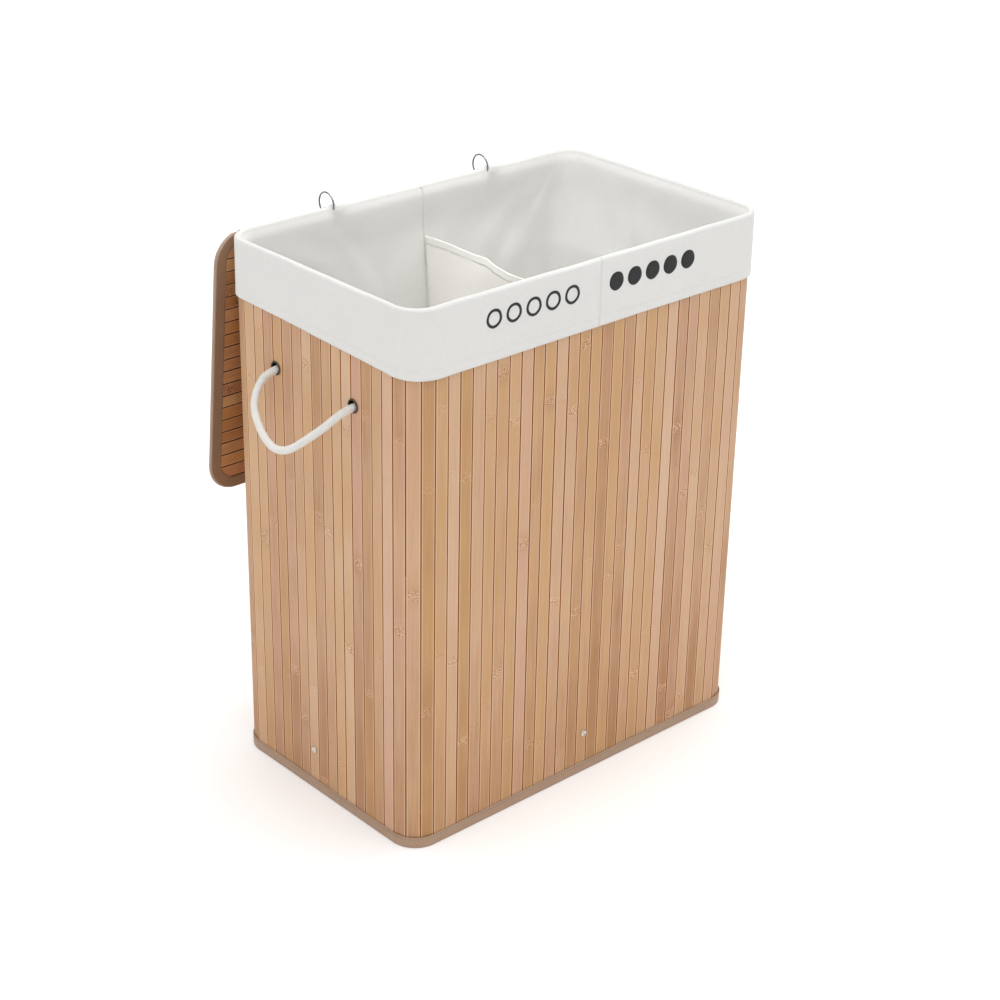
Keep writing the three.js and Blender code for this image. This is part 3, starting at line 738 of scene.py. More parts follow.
def cloth_material(
    name, colour, thread, slub, size, strength, rise, sheen=0.15, place=on_cloth, rim_shade=None, fold=None,
):
    """Woven cloth; a painted shade darkens the rim's fold and a painted highlight lightens a tape's fold; threads
    follow the cloth or the object.
    """
    material, tree = new_material(name)
    place = place(tree)
    threads = use_group(tree, weave, Place=place, Thread=thread, Slub=slub)
    tone = threads["Tone"] * use_group(tree, cloudy, Place=place, Size=size, Strength=strength)["Tone"]
    # Painted shade: the cloth is painted darker over the top of the rim's fold
    if rim_shade:
        tone = tone * ranged(on_object(tree).axes()[2], RIM - RIM_FOLD_SHADE, RIM, 1.0, rim_shade)
    dyed = tinted(tone, linear(*colour))
    # Painted highlight: a paler band along the tape's fold, standing for light caught on the fold's edge
    if fold:
        run, reach, highlight_colour = fold
        away = (place.axes()[1] - run).turned("ABSOLUTE")
        dyed = between(ranged(away, reach / 2, reach, 0.9, 0.0), dyed, linear(*highlight_colour))
    looks = {
        "Base Color": dyed, "Roughness": ranged(threads["Height"], 0.0, 1.0, 0.95, 0.8),
        "Sheen Weight": sheen, "Sheen Roughness": 0.6, "Specular IOR Level": 0.2,
    }
    return shaded(material, looks, threads["Height"], rise)


def metal_material(name, colour, low, high, metallic=1.0):
    material, tree = new_material(name)
    worn = use_group(tree, rubbed, Low=low, High=high)
    looks = {"Base Color": tinted(worn["Tone"], linear(*colour)), "Roughness": worn["Roughness"]}
    return shaded(material, {**looks, "Metallic": metallic}, worn["Height"], METAL_RELIEF)


def cord_material():
    """Braided cotton rope: crossing strands round the rope, with soft fuzz."""
    material, tree = new_material("braided cotton cord")
    place = on_cloth(tree)
    x, y, _ = place.axes()
    count = math.tau / BRAID_PITCH
    braid = (((x + y) * count).turned("SINE") * ((x - y) * count).turned("SINE") + 1.0) * 0.5
    clouds = use_group(tree, cloudy, Place=place, Size=0.02, Strength=0.12)
    # The braid's hollows are painted darker, a painted shade, with soft random clouds over it
    tone = ranged(braid, 0.0, 0.7, 0.86, 1.0) * clouds["Tone"]
    looks = {
        "Base Color": tinted(tone, linear(246, 244, 239)), "Roughness": 0.9, "Sheen Weight": 0.3,
        "Specular IOR Level": 0.2,
    }
    return shaded(material, looks, braid + noise(place, 2400.0, 3.0, 0.6) * 0.5, BRAID_RELIEF)


def thread_material(name, colour, strand):
    """Sewing and embroidery thread, with a low shine."""
    material, tree = new_material(name)
    thread = use_group(tree, strands, Place=on_cloth(tree), Strand=strand)
    looks = {
        "Base Color": tinted(thread["Tone"], linear(*colour)), "Roughness": thread["Roughness"],
        "Sheen Weight": 0.1,
    }
    return shaded(material, looks, thread["Height"], THREAD_RELIEF)


def board_material():
    """Pressed fibreboard."""
    material, tree = new_material("brown fibreboard")
    place = on_object(tree)
    fibres = noise(place, 400.0, 5.0, 0.7, 0.8)
    clouds = use_group(tree, cloudy, Place=place, Size=0.05, Strength=0.25)
    tone = ranged(fibres, 0.3, 0.7, 0.75, 1.15) * clouds["Tone"]
    looks = {"Base Color": tinted(tone, linear(150, 112, 76)), "Roughness": 0.85}
    return shaded(material, looks, fibres, BOARD_RELIEF)


# Colours in the order of BAMBOO_COLOURS
WALL_COLOURS = (
    (226, 189, 156), (213, 170, 131), (181, 131, 87), (214, 165, 143), (210, 163, 107),
    (240, 211, 181), (184, 112, 50),
)
# The lid's slats: the wall's bamboo painted darker and browner, a painted shade for the shade the hanging lid is
# in
LID_SHADED_COLOURS = (
    (212, 158, 108), (190, 132, 84), (152, 98, 56), (192, 129, 94), (196, 134, 74),
    (222, 172, 126), (80, 42, 20),
)
# Cloths: size of a thread, unevenness, size and strength of clouds, rise of the weave, and sheen
CANVAS = (0.55 * MM, 0.45, 0.11, 0.05, 0.05 * MM)
TAPE = (0.7 * MM, 0.6, 0.03, 0.16, 0.09 * MM, 0.25)
LINING = (0.8 * MM, 0.6, 0.05, 0.12, 0.08 * MM)
BACKING = (0.6 * MM, 0.5, 0.06, 0.15, 0.06 * MM, 0.0)
WEBBING = (1.2 * MM, 0.4, 0.04, 0.1, 0.12 * MM)

# The wall's slats get painted shade towards their foot; the lid's get none
bamboo = bamboo_material("wall bamboo", WALL_COLOURS, 0.34, 0.3)
# The lid's bamboo is a painted-shade copy of the wall's bamboo
lid_bamboo = bamboo_material("lid bamboo", LID_SHADED_COLOURS, 0.31, 0)
# The liner cloth gets painted shade on the rim's top fold
canvas = cloth_material("liner cloth", (236, 235, 232), *CANVAS, rim_shade=0.86)
# The divider's cloth: the liner cloth painted lighter, a painted light for the light that reaches the divider
divider_canvas_painted_light = cloth_material("divider cloth", (252, 250, 245), *CANVAS)
tape = cloth_material("binding tape", (180, 149, 124), *TAPE)
hidden_tape = cloth_material("binding tape on hidden edges", (172, 142, 118), *TAPE, on_object)
# A painted highlight on the fold of the lid's tape
lid_fold_highlight = (LID_FOLD_RUN, LID_FOLD_HIGHLIGHT_REACH, (181, 158, 142))
# The lid's tape is the binding tape painted darker, a painted shade for the shade the hanging lid is in
shaded_lid_tape = cloth_material("lid binding tape", (146, 109, 77), *TAPE, fold=lid_fold_highlight)
lining = cloth_material("lining cloth", (190, 170, 146), *LINING, place=on_object)
backing = cloth_material("backing cloth", (190, 112, 50), *BACKING, on_object)
webbing = cloth_material("webbing", (222, 217, 206), *WEBBING, place=on_object)
cord = cord_material()
white_thread = thread_material("white thread", (240, 239, 234), SEWING_STRAND)
brown_thread = thread_material("brown thread", (150, 121, 98), SEWING_STRAND)
black_thread = thread_material("black embroidery thread", (12, 11, 12), EMBROIDERY_STRAND)
bronze = metal_material("dark bronze", (96, 84, 72), 0.25, 0.5, 0.9)
nickel = metal_material("nickel plate", (226, 222, 214), 0.18, 0.35)
steel = metal_material("steel wire", (150, 150, 150), 0.22, 0.4)
board = board_material()


# Cords

def tube_rings(path, radius, sides):
    """Rings of points round a path, of one radius or of one that depends on angle and distance."""
    along = np.gradient(path, axis=0)
    along /= np.linalg.norm(along, axis=1)[:, None]
    side = np.cross(along[0], (0, 0, 1))
    if np.linalg.norm(side) < 0.1:
        side = np.cross(along[0], (0, 1, 0))
    angles = np.arange(sides) * math.tau / sides
    rings = []
    for place, direction, travelled in zip(path, along, runs(path)):
        side = side - direction * (side @ direction)
        side /= np.linalg.norm(side)
        other = np.cross(direction, side)
        size = radius(angles, travelled) if callable(radius) else radius
        rings.append(place + circle(angles, side, other, size))
    return rings


def tube_piece(name, path, radius, sides, shape=None):
    """A tube along a path, of one radius or of a shape that varies it."""
    across = np.arange(sides) * math.tau * radius / sides
    places = np.stack(np.meshgrid(runs(path), across, indexing="ij")[::-1], -1)
    rings = tube_rings(path, shape or radius, sides)
    return grid_piece(name, rings, wrap_columns=True, capped=True, places=places)


def resampled(points, step):
    points = np.asarray(points, float)
    distance = runs(points)
    wanted = np.linspace(0, distance[-1], max(2, int(round(distance[-1] / step)) + 1))
    return np.stack([np.interp(wanted, distance, points[:, axis]) for axis in range(3)], -1)


def eased(points, step, reach):
    """A path with its turns rounded over a reach, its ends kept."""
    path = resampled(points, step)
    for _ in range(int(round((reach / step) ** 2))):
        path[1:-1] += 0.5 * ((path[:-2] + path[2:]) / 2 - path[1:-1])
    return resampled(path, step)


def knot_centre(side, end):
    low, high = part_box(f"{side}_{end}_rope_knot")
    x = high.x - KNOT_RADIUS if side == "left" else low.x + KNOT_RADIUS
    return Vector((x, (low.y + high.y) / 2, (low.z + high.z) / 2))


def rope_centreline(side):
    """From the front knot out through its eyelet, round the loop and back in to the other knot."""
    sign = SIDES[side]
    low = HANDLE_AXIS.z - ROPE_DROP_IN_EYELET
    loop = [
        (
            sign * (abs(HANDLE_AXIS.x) + down * MM * math.sin(HANDLE_TILT)),
            HANDLE_AXIS.y + along * MM,
            HANDLE_AXIS.z - down * MM * math.cos(HANDLE_TILT),
        )
        for along, down in ROPE_ROUTE_MM
    ]

    def way_out(end, y):
        stations = [(sign * (HALF_LENGTH + step), y, low) for step in (-ROPE_INSIDE, SEAT)]
        return [tuple(knot_centre(side, end)), *stations]

    leaving, entering = way_out("front", loop[0][1]), way_out("back", loop[-1][1])[::-1]
    return eased(leaving + loop[1:-1] + entering, ROPE_STEP, ROPE_EASE)


def braided(angle, travelled):
    """The rope's radius, a little uneven where the strands of its braid cross."""
    round_it, along_it = ROPE_STRANDS * angle, travelled / ROPE_STRAND_RUN
    lift = np.sin(round_it + along_it) * np.sin(round_it - along_it)
    return ROPE_DIAMETER / 2 * (0.985 + 0.02 * lift + 0.012 * math.sin(travelled * 410))


def make_knot(side, end):
    """The stopper knot inside the wall: the rope wound over itself."""
    centre = np.array(knot_centre(side, end))
    turns = np.linspace(0, math.tau, KNOT_STEPS, endpoint=False)
    size = (KNOT_RADIUS - KNOT_STRAND) / 3
    path = np.stack([
        size * 1.4 * np.sin(3 * turns),
        size * (np.sin(turns) + 2 * np.sin(2 * turns)),
        size * (np.cos(turns) - 2 * np.cos(2 * turns)),
    ], -1) + centre
    knot = tube_piece(f"{side}_{end}_knot", np.vstack([path, path[:1]]), KNOT_STRAND, KNOT_SIDES)
    return dressed(knot, cord, "basket", "cord", f"{side}_{end}_rope_knot")


def make_handle(side):
    path = rope_centreline(side)
    rope = tube_piece(f"{side}_rope_handle", path, ROPE_DIAMETER / 2, ROPE_SIDES, braided)
    rope.data.materials.append(cord)
    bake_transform(rope)
    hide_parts(f"{side}_handle_rope")
    knots = [make_knot(side, end_name) for end_name in ENDS]


# Bamboo slats

def slat_section(width, thickness):
    """Outline of one slat, across it and out from its face, with eased edges and a slight crown."""
    edge = SLAT_EDGE
    points = [(0, -thickness), (0, -edge), (0.3 * edge, -0.3 * edge), (edge, 0)]
    points += [(width * share, SLAT_CROWN * math.sin(math.pi * share)) for share in (0.25, 0.5, 0.75)]
    points += [(width - edge, 0), (width - 0.3 * edge, -0.3 * edge), (width, -edge), (width, -thickness)]
    return np.array(points)


class SlatPanel:
    """A row of slats as one mesh, whose points know which slat they belong to."""

    def __init__(self, seed, browner=0):
        self.shell = Shell()
        self.browner = browner
        self.source = random.Random(seed)
        self.slats = []

    def add(self, start, across, outward, along, width, length, thickness, trim=None):
        """One slat from its start corner. trim gives how far each end is cut back at a place across."""
        section = slat_section(width, thickness)
        steps = np.linspace(0, length, SLAT_ROWS)
        wander = soft_noise(steps, 0 * steps, SLAT_WANDER_LENGTH, self.source.random()) * JOINT_WANDER
        rows = []
        for step, drift in zip(steps, wander):
            cut_back = np.zeros(len(section))
            if trim is not None:
                side = 1 if step < length / 2 else -1
                cut_back = trim(section[:, 0]) * side * abs(1 - 2 * step / length)
            place = step + cut_back
            rows.append(
                start
                + np.outer(section[:, 0] + drift, across)
                + np.outer(section[:, 1], outward)
                + np.outer(place, along)
            )
        self.shell.grid(rows, wrap_columns=True, capped=True)
        middle_place = start + across * width / 2
        tone = self.source.triangular(0.12, 0.95, 0.6) - self.browner
        hue = self.source.random() ** 1.6
        self.slats.append((middle_place, across, along, tone, hue, self.source.random(), width))

    def made(self, name, holes=()):
        panel = self.shell.made(name, smooth=False)
        if holes:
            pierce(panel, holes)
        self.mark(panel)
        return panel

    def mark(self, panel):
        """Writes each point's slat and its place on that slat."""
        points = np.array([vertex.co for vertex in panel.data.vertices])
        centres = np.array([slat[0] for slat in self.slats])
        acrosses = np.array([slat[1] for slat in self.slats])
        alongs = np.array([slat[2] for slat in self.slats])
        away = points[:, None, :] - centres[None]
        away -= np.einsum("pse,se->ps", away, alongs)[:, :, None] * alongs[None]
        nearest = np.argmin(np.linalg.norm(away, axis=2), axis=1)
        offset = points - centres[nearest]
        widths = np.array([slat[6] for slat in self.slats])[nearest]
        across = np.einsum("pe,pe->p", offset, acrosses[nearest])
        place = np.stack([across, np.einsum("pe,pe->p", offset, alongs[nearest]), 2 * across / widths], -1)
        spread = panel.data.attributes.new("slat_place", "FLOAT_VECTOR", "POINT")
        spread.data.foreach_set("vector", place.ravel().astype(np.float32))
        for name, column in (("slat_tone", 3), ("slat_hue", 4), ("slat_seed", 5)):
            values = np.array([slat[column] for slat in self.slats])[nearest].astype(np.float32)
            panel.data.attributes.new(name, "FLOAT", "POINT").data.foreach_set("value", values)


def pierce(piece, holes):
    """Cuts round holes, each given as its middle, its direction, its radius and its length."""
    cutters = bmesh.new()
    for centre, direction, radius, run in holes:
        turn = Vector((0, 0, 1)).rotation_difference(Vector(direction)).to_matrix().to_4x4()
        place = Matrix.Translation(centre) @ turn
        bmesh.ops.create_cone(
            cutters, cap_ends=True, segments=40, radius1=radius, radius2=radius, depth=run, matrix=place,
        )
    cutter_mesh = bpy.data.meshes.new("hole cutters")
    cutters.to_mesh(cutter_mesh)
    cutters.free()
    cutter = linked("hole cutters", cutter_mesh)
    modifier = piece.modifiers.new("holes", "BOOLEAN")
    modifier.operation = "DIFFERENCE"
    modifier.solver = "EXACT"
    modifier.object = cutter
    bpy.context.view_layer.update()
    evaluated = piece.evaluated_get(bpy.context.evaluated_depsgraph_get())
    cut_mesh = bpy.data.meshes.new_from_object(evaluated)
    old_mesh = piece.data
    piece.modifiers.remove(modifier)
    piece.data = cut_mesh
    bpy.data.meshes.remove(old_mesh)
    bpy.data.objects.remove(cutter)


def joint_places(start, end, count, source):
    """The joints between slats from start to end, each a little off its even place."""
    places = np.linspace(start, end, count + 1)
    places[1:-1] += [source.uniform(-JOINT_SHIFT, JOINT_SHIFT) for _ in range(count - 1)]
    return places


def wall_panel(name, mark, holes=()):
    """The slats of one flat or rounded stretch of the wall, between two of the outline's marks."""
    start, end = WALL_MARKS[mark], WALL_MARKS[mark + 1]
    if name == "front":
        start, end = -STRAIGHT_X, STRAIGHT_X
    rounded = abs(end - start - QUARTER) < MM
    count = CORNER_SLATS if rounded else round((end - start) / SLAT_PITCH)
    panel = SlatPanel(name, CORNER_BROWNER if rounded else 0)
    edges = joint_places(start, end, count, panel.source)
    if rounded:
        edges = np.linspace(start, end, count + 1)
    for near, far in zip(edges[:-1], edges[1:]):
        first = wall_points(near, 0.0, SLAT_BOTTOM)
        last = wall_points(far, 0.0, SLAT_BOTTOM)
        across = (last - first) / np.linalg.norm(last - first)
        outward = np.cross((0, 0, 1), across)
        gap = panel.source.uniform(0.6, 1.25) * SLAT_GAP
        width = np.linalg.norm(last - first) - gap
        begin = first + across * gap / 2
        up = np.array((0.0, 0.0, 1.0))
        panel.add(begin, across, outward, up, width, SLAT_TOP - SLAT_BOTTOM, SLAT_THICKNESS)
    node = f"{name}_corner_slats" if rounded else f"{name}_slats"
    dressed(panel.made(f"{node}_bamboo", holes), bamboo, "basket", "bamboo", node)


def handle_holes(side):
    places = [middle(f"{side}_{end}_eyelet") for end in ENDS]
    radius = EYELET_BORE + HOLE_ROOM
    return [((SIDES[side] * HALF_LENGTH, place.y, place.z), (1, 0, 0), radius, HOLE_RUN) for place in places]


def make_walls():
    stretches = ("front", "front_left", "left", "back_left", "back", "back_right", "right", "front_right")
    for mark, name in enumerate(stretches):
        wall_panel(name, mark, handle_holes(name) if name in SIDES else ())


# Stitches and tapes

def add_stitch(shell, centre, direction, outward, length, radius):
    """One stitch lying on a surface: a short thread that dips at its ends."""
    direction = direction / np.linalg.norm(direction)
    outward = outward / np.linalg.norm(outward)
    side = np.cross(direction, outward)
    sides = 6
    angles = np.arange(sides) * math.tau / sides
    rows = []
    for share, girth, lift in STITCH_SHAPE:
        place = centre + direction * length * share + outward * radius * lift
        rows.append(place + circle(angles, side, outward) * radius * girth)
    places = np.stack(np.meshgrid(np.arange(sides) * radius, np.arange(len(rows)) * radius), -1)
    shell.grid(rows, wrap_columns=True, capped=True, places=places)


def wall_stitches(name, start, end, out, level, pitch, length, radius, material, slot):
    """A row of stitches round the wall; out and level may be functions of the distance."""
    shell = Shell()
    count = int((end - start) / pitch)
    for distance in start + (np.arange(count) + 0.5) * pitch:
        here_out = out(distance) if callable(out) else out
        here_level = level(distance) if callable(level) else level
        centre = wall_points(distance, here_out, here_level)
        ahead = wall_points(distance + MM, here_out, here_level)
        outward = wall_points(distance, here_out + MM, here_level) - centre
        add_stitch(shell, centre, ahead - centre, outward, length, radius)
    return dressed(shell.made(name), material, "basket", slot)


def tape_out(distance):
    """How far the lower binding stands off its even line at a distance round the wall."""
    return BINDING_WAVE * wavy("binding", distance, 0 * distance)


def make_bottom_binding():
    """A tape folded over the lower edge of the slats. Its cut ends meet at the middle of the back."""
    outer, inner = BINDING_OUT, -SLAT_THICKNESS - BINDING_INSIDE
    thick, fold, top = BINDING_THICKNESS, BINDING_FOLD, BINDING_TOP
    profile = [(outer - thick, top), (outer - BINDING_LIP, top + BINDING_LIP_RISE)]
    profile += [(outer, top - step * MM) for step in (0, 2, 4, 7, 10)]
    turn = np.linspace(math.pi / 2, 0, 5)
    profile += [(outer - fold * (1 - math.sin(a)), fold * (1 - math.cos(a))) for a in turn]
    profile += [(inner + fold, 0.0), (inner + 0.3 * fold, 0.3 * fold), (inner, fold), (inner, top)]
    profile += [(inner + thick, top), (inner + thick, thick), (outer - thick, thick)]
    profile = np.array(profile)
    laps = np.linspace(WALL_ROUND / 2, WALL_ROUND * 1.5, BOTTOM_BINDING_LAPS)
    ruffled = np.clip(profile[:, 1] / top, 0, 1) * (profile[:, 0] > 0)
    rows = [wall_points(lap, profile[:, 0] + tape_out(lap) * ruffled, profile[:, 1]) for lap in laps]
    places = tape_places(laps, profile)
    binding = grid_piece("bottom_binding_tape", rows, wrap_columns=True, capped=True, places=places)
    dressed(binding, tape, "basket", "tape", "bottom_binding")
    wall_stitches(
        "bottom_binding_stitches", 0, WALL_ROUND, lambda distance: BINDING_OUT + tape_out(distance),
        BINDING_TOP - TAPE_STITCH_INSET, TAPE_STITCH_PITCH, TAPE_STITCH_LENGTH, TAPE_STITCH_RADIUS,
        brown_thread, "tape",
    )


def make_wall_backing():
    """The cloth that the slats are sewn to, which meets itself at the middle of the back."""
    foot, top = level_range("wall_backing_cloth")
    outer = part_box("wall_backing_cloth")[1].x - HALF_LENGTH
    inner = outer - BACKING_CLOTH
    start, end = WALL_ROUND / 2 + BACKING_SEAM, WALL_ROUND * 1.5 - BACKING_SEAM
    section = np.array([(outer, foot), (outer, top), (inner, top), (inner, foot)])
    laps = np.linspace(start, end, BACKING_COLUMNS)
    rows = [wall_points(lap, section[:, 0], section[:, 1]) for lap in laps]
    cloth = grid_piece("wall_backing", rows, smooth=False, wrap_columns=True, capped=True)
    pierce(cloth, handle_holes("left") + handle_holes("right"))
    dressed(cloth, backing, "basket", "backing", "wall_backing_cloth")


def rounded_reach(y, half_x, half_y, radius):
    """How far a rounded rectangle reaches to each side at a place across it."""
    near_corner = max(0.0, abs(y) - (half_y - radius))
    return half_x - radius + math.sqrt(max(0.0, radius ** 2 - near_corner ** 2))


def flat_row(x, y, level):
    return np.stack(np.broadcast_arrays(x, y, level), -1)


def make_base_cloth():
    """The cloth under the board, with faint waves."""
    low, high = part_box("base_cloth")
    thickness = high.z - low.z
    radius = CORNER - (HALF_LENGTH - high.x)
    shares = np.linspace(-1, 1, BASE_STEPS)
    rows = []
    for y in high.y * np.sin(np.linspace(-math.pi / 2, math.pi / 2, BASE_STEPS)):
        x = rounded_reach(y, high.x, high.y, radius) * shares
        held = (1 - shares ** 8) * (1 - (y / high.y) ** 8)
        rows.append(flat_row(x, y, thickness / 2 + BASE_WAVE * (1 + wavy("base", x, y)) * held))
    places = np.array(rows)[..., :2]
    cloth = cloth_piece("base_underside", rows, places, 0.8 * thickness, lining, "backing", "base_cloth")


def make_top_binding():
    """A tape folded over the upper edge of the slats, under the liner."""
    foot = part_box("top_binding")[0].z
    outer = TURN_RADIUS - CLOTH / 2 - SEAT
    inner = outer - TOP_BINDING_THICKNESS
    angles = np.linspace(0, math.pi, 11)
    profile = [(outer, foot)] + [(outer * math.cos(a), TURN_LEVEL + outer * math.sin(a)) for a in angles]
    profile += [(-outer, foot), (-inner, foot)]
    profile += [(-inner * math.cos(a), TURN_LEVEL + inner * math.sin(a)) for a in angles] + [(inner, foot)]
    profile = np.array(profile)
    laps = np.linspace(0, WALL_ROUND, TOP_BINDING_LAPS, endpoint=False)
    rows = [wall_points(lap, TURN_OUT + profile[:, 0], profile[:, 1]) for lap in laps]
    places = tape_places(laps, profile)
    binding = grid_piece("top_binding_tape", rows, wrap_rows=True, wrap_columns=True, places=places)
    dressed(binding, tape, "basket", "tape", "top_binding")


# Liner

def cuff_edge(distance):
    """The level of the cuff's lower edge, which climbs towards the back."""
    place = np.mod(distance, WALL_ROUND)
    level = np.interp(place, *np.array(CUFF_EDGE_MM).T * MM)
    return level + CUFF_EDGE_WAVE * wavy("cuff edge", place, 0 * place)


def seam_dip(distance, start, end):
    """Draws the cloth in at the two seams that join the liner's halves."""
    away = np.minimum(np.abs(distance - start), np.abs(distance - end))
    return -SEAM_DIP * (1 - smooth_step(away / SEAM_REACH))


def cuff_wave(distance, level):
    """How far the cuff stands off the wall between its hem and the rim."""
    low_share = np.clip((RIM - level) / (RIM - CUFF_BOTTOM), 0, 1)
    slow = wavy("slow cuff", distance, level)
    quick = wavy("quick cuff", distance, level * 0.4)
    return (CUFF_SLOW_WAVE * slow + CUFF_QUICK_WAVE * quick) * (0.4 + low_share) + CUFF_LIFT * low_share


def back_place(x):
    """The distance round the wall to a place on the back wall."""
    return WALL_ROUND / 2 + x


def crease_list():
    """Creases in the bins' walls: two ends as distance and level, how deep, and the reach on each side."""
    right, left = (WALL_MARKS[6] + WALL_MARKS[7]) / 2, (WALL_MARKS[2] + WALL_MARKS[3]) / 2
    middles = {"back": WALL_ROUND / 2, "right": right, "left": left}
    creases = []
    for wall, start, top, end, foot, *sizes in CREASES_MM:
        start, end = middles[wall] + start * MM, middles[wall] + end * MM
        creases.append((start, top * MM, end, foot * MM, *(size * MM for size in sizes)))
    source = random.Random(71)

    def drawn(size):
        return source.uniform(*SMALL_CREASE_MM[size]) * MM

    for _ in range(SMALL_CREASES):
        place = source.uniform(0, WALL_ROUND)
        level, run = drawn("level"), drawn("run")
        angle = source.uniform(*SMALL_CREASE_SLOPE)
        end, foot = place + run * math.cos(angle), level - run * math.sin(angle)
        creases.append((place, level, end, foot, drawn("depth"), drawn("near"), drawn("far")))
    return creases


CREASES = crease_list()


def fold_depth(distance, level):
    """Soft folds inside the bins: none at the rim, and deeper where the cloth hangs free."""
    free = smooth_step((RIM - level) / FOLD_START)
    drapes = np.abs(wavy("drapes", distance, level * 0.3)) * DRAPE_DEPTH
    depth = drapes + wavy("lumps", distance * 0.8, level) * LUMP_DEPTH
    for start, top, end, foot, size, near, far in CREASES:
        run = math.hypot(end - start, foot - top)
        along_x, along_z = (end - start) / run, (foot - top) / run
        gap = np.mod(distance - start + WALL_ROUND / 2, WALL_ROUND) - WALL_ROUND / 2
        travelled = gap * along_x + (level - top) * along_z
        aside = gap * -along_z + (level - top) * along_x
        reach = np.where(aside < 0, near, far)
        begun = smooth_step((travelled + 0.25 * run) / (0.5 * run))
        ended = smooth_step((1.25 * run - travelled) / (0.5 * run))
        depth = depth + size * np.exp(-(aside / reach) ** 2) * begun * ended
    return -FOLD_SHARE * free * np.maximum(depth, 0)


def ring_pucker(distance):
    """Where the cloth is drawn up over the wires of the two lid rings, from 0 to 1."""
    total = 0 * distance
    for node in ("left_lid_ring", "right_lid_ring"):
        aside = distance - back_place(middle(node).x + PUCKER_ASIDE)
        aside = np.mod(aside + WALL_ROUND / 2, WALL_ROUND) - WALL_ROUND / 2
        total = total + np.exp(-(aside / np.where(aside < 0, PUCKER_NEAR, PUCKER_FAR)) ** 2)
    return total


def liner_half(side, start, end):
    """One half of the liner: hem, cuff, turn over the rim and wall of its bin, whose back seam leans."""
    shares = np.linspace(0, 1, LINER_COLUMNS)
    distance = start + (end - start) * shares
    edge = cuff_edge(distance)
    outer = TURN_OUT + TURN_RADIUS
    inner = TURN_OUT - TURN_RADIUS
    rows, places = [], []
    travelled = np.zeros_like(distance)
    rim_wave = RIM_WAVE * wavy("rim", distance, 0)
    previous = None
    stations = [("skirt", share) for share in SKIRT_SHARES]
    stations += [("turn", share) for share in TURN_SHARES]
    stations += [("inside", share) for share in INSIDE_SHARES]
    for kind, share in stations:
        slack = 0.0
        if kind == "skirt":
            level = edge + (TURN_LEVEL - edge) * share
            dimple = HEM_DIMPLE * np.exp(-((level - edge - HEM_HEIGHT) / HEM_DIMPLE_REACH) ** 2)
            out = outer + cuff_wave(distance, level) - dimple
        elif kind == "turn":
            angle = math.pi * share
            turned = smooth_step(share)
            pucker = ring_pucker(distance)
            out = TURN_OUT + TURN_RADIUS * math.cos(angle) - PUCKER_OUT * pucker * turned
            out = out + cuff_wave(distance, TURN_LEVEL) * (1 - turned)
            level = TURN_LEVEL + TURN_RADIUS * math.sin(angle) + rim_wave * math.sin(angle)
            level = level + PUCKER_RISE * pucker * math.sin(angle) ** 2
        else:
            level = TURN_LEVEL + (BIN_BOTTOM + CLOTH - TURN_LEVEL) * share + 0 * distance
            below = TURN_LEVEL - level
            slack = np.clip(below / (TURN_LEVEL - SLOPE_END), 0, 1)
            lean = min(BACK_SEAM_LEAN * below[0], BACK_SEAM_SHIFT)
            if side == "left":
                distance = start + (end + lean - start) * shares
            else:
                distance = start + lean + (end - start - lean) * shares
            back = smooth_step((below - RIM_ROLL_HEIGHT) / (RIM_ROLL_END - RIM_ROLL_HEIGHT))
            roll = np.sin(math.pi / 2 * np.clip(below / RIM_ROLL_HEIGHT, 0, 1)) * (1 - back)
            pucker = ring_pucker(distance) * (1 - smooth_step(below / PUCKER_DROP))
            out = inner + fold_depth(distance, level) - RIM_ROLL * roll * (1 - pucker) - PUCKER_OUT * pucker
        dip = seam_dip(distance, distance[0], distance[-1])
        out = out + (dip if kind != "inside" else -dip)
        row = wall_points(distance, out, level, slack)
        if previous is not None:
            travelled = travelled + np.linalg.norm(row - previous, axis=1).mean()
        previous = row
        rows.append(row)
        places.append(np.stack([distance, travelled], -1))
    nodes = [f"liner_{side}_{part}" for part in ("bin", "cuff")]
    cloth = cloth_piece(f"liner_{side}_cloth", rows, places, CLOTH, canvas, "canvas", *nodes)

    def stitch_out(place):
        return outer + CLOTH / 2 + cuff_wave(place, cuff_edge(place) + HEM_HEIGHT) - HEM_DIMPLE

    wall_stitches(
        f"liner_{side}_hem_stitches", start, end, stitch_out, lambda place: cuff_edge(place) + HEM_HEIGHT,
        STITCH_PITCH, STITCH_LENGTH, STITCH_RADIUS, white_thread, "canvas",
    )


def bag_reach():
    """Half sizes of the bins' inner faces at the floor."""
    half_x = HALF_LENGTH + BIN_OUT - CLOTH - END_SLACK
    half_y = HALF_DEPTH + BIN_OUT - CLOTH - SIDE_SLACK
    return half_x, half_y


def floor_cloth(side):
    """The floor of one bin, with the slight hills of cloth over a board."""
    half_x, half_y = bag_reach()
    radius = CORNER + BIN_OUT - CLOTH
    shares = np.linspace(0, 1, BIN_FLOOR_COLUMNS)
    rows = []
    for y in np.linspace(-1, 1, BIN_FLOOR_ROWS) * (half_y - SEAT):
        reach = rounded_reach(y, half_x - SEAT, half_y, radius)
        x = SIDES[side] * (SEAT + (reach - SEAT) * shares)
        hills = FLOOR_HILLS * (1 + wavy("floor", x, y)) * (1 - shares ** 8)
        rows.append(flat_row(x, y, BIN_FLOOR - CLOTH / 2 + hills))
    node = f"liner_{side}_floor"
    cloth = cloth_piece(f"{node}_cloth", rows, np.array(rows)[..., :2], CLOTH, canvas, "canvas", node)


def divider_crest(y):
    """The level of the divider's top edge from the front wall to the back, with one small hump."""
    return np.interp(y, *np.array(DIVIDER_CREST_MM).T * MM)


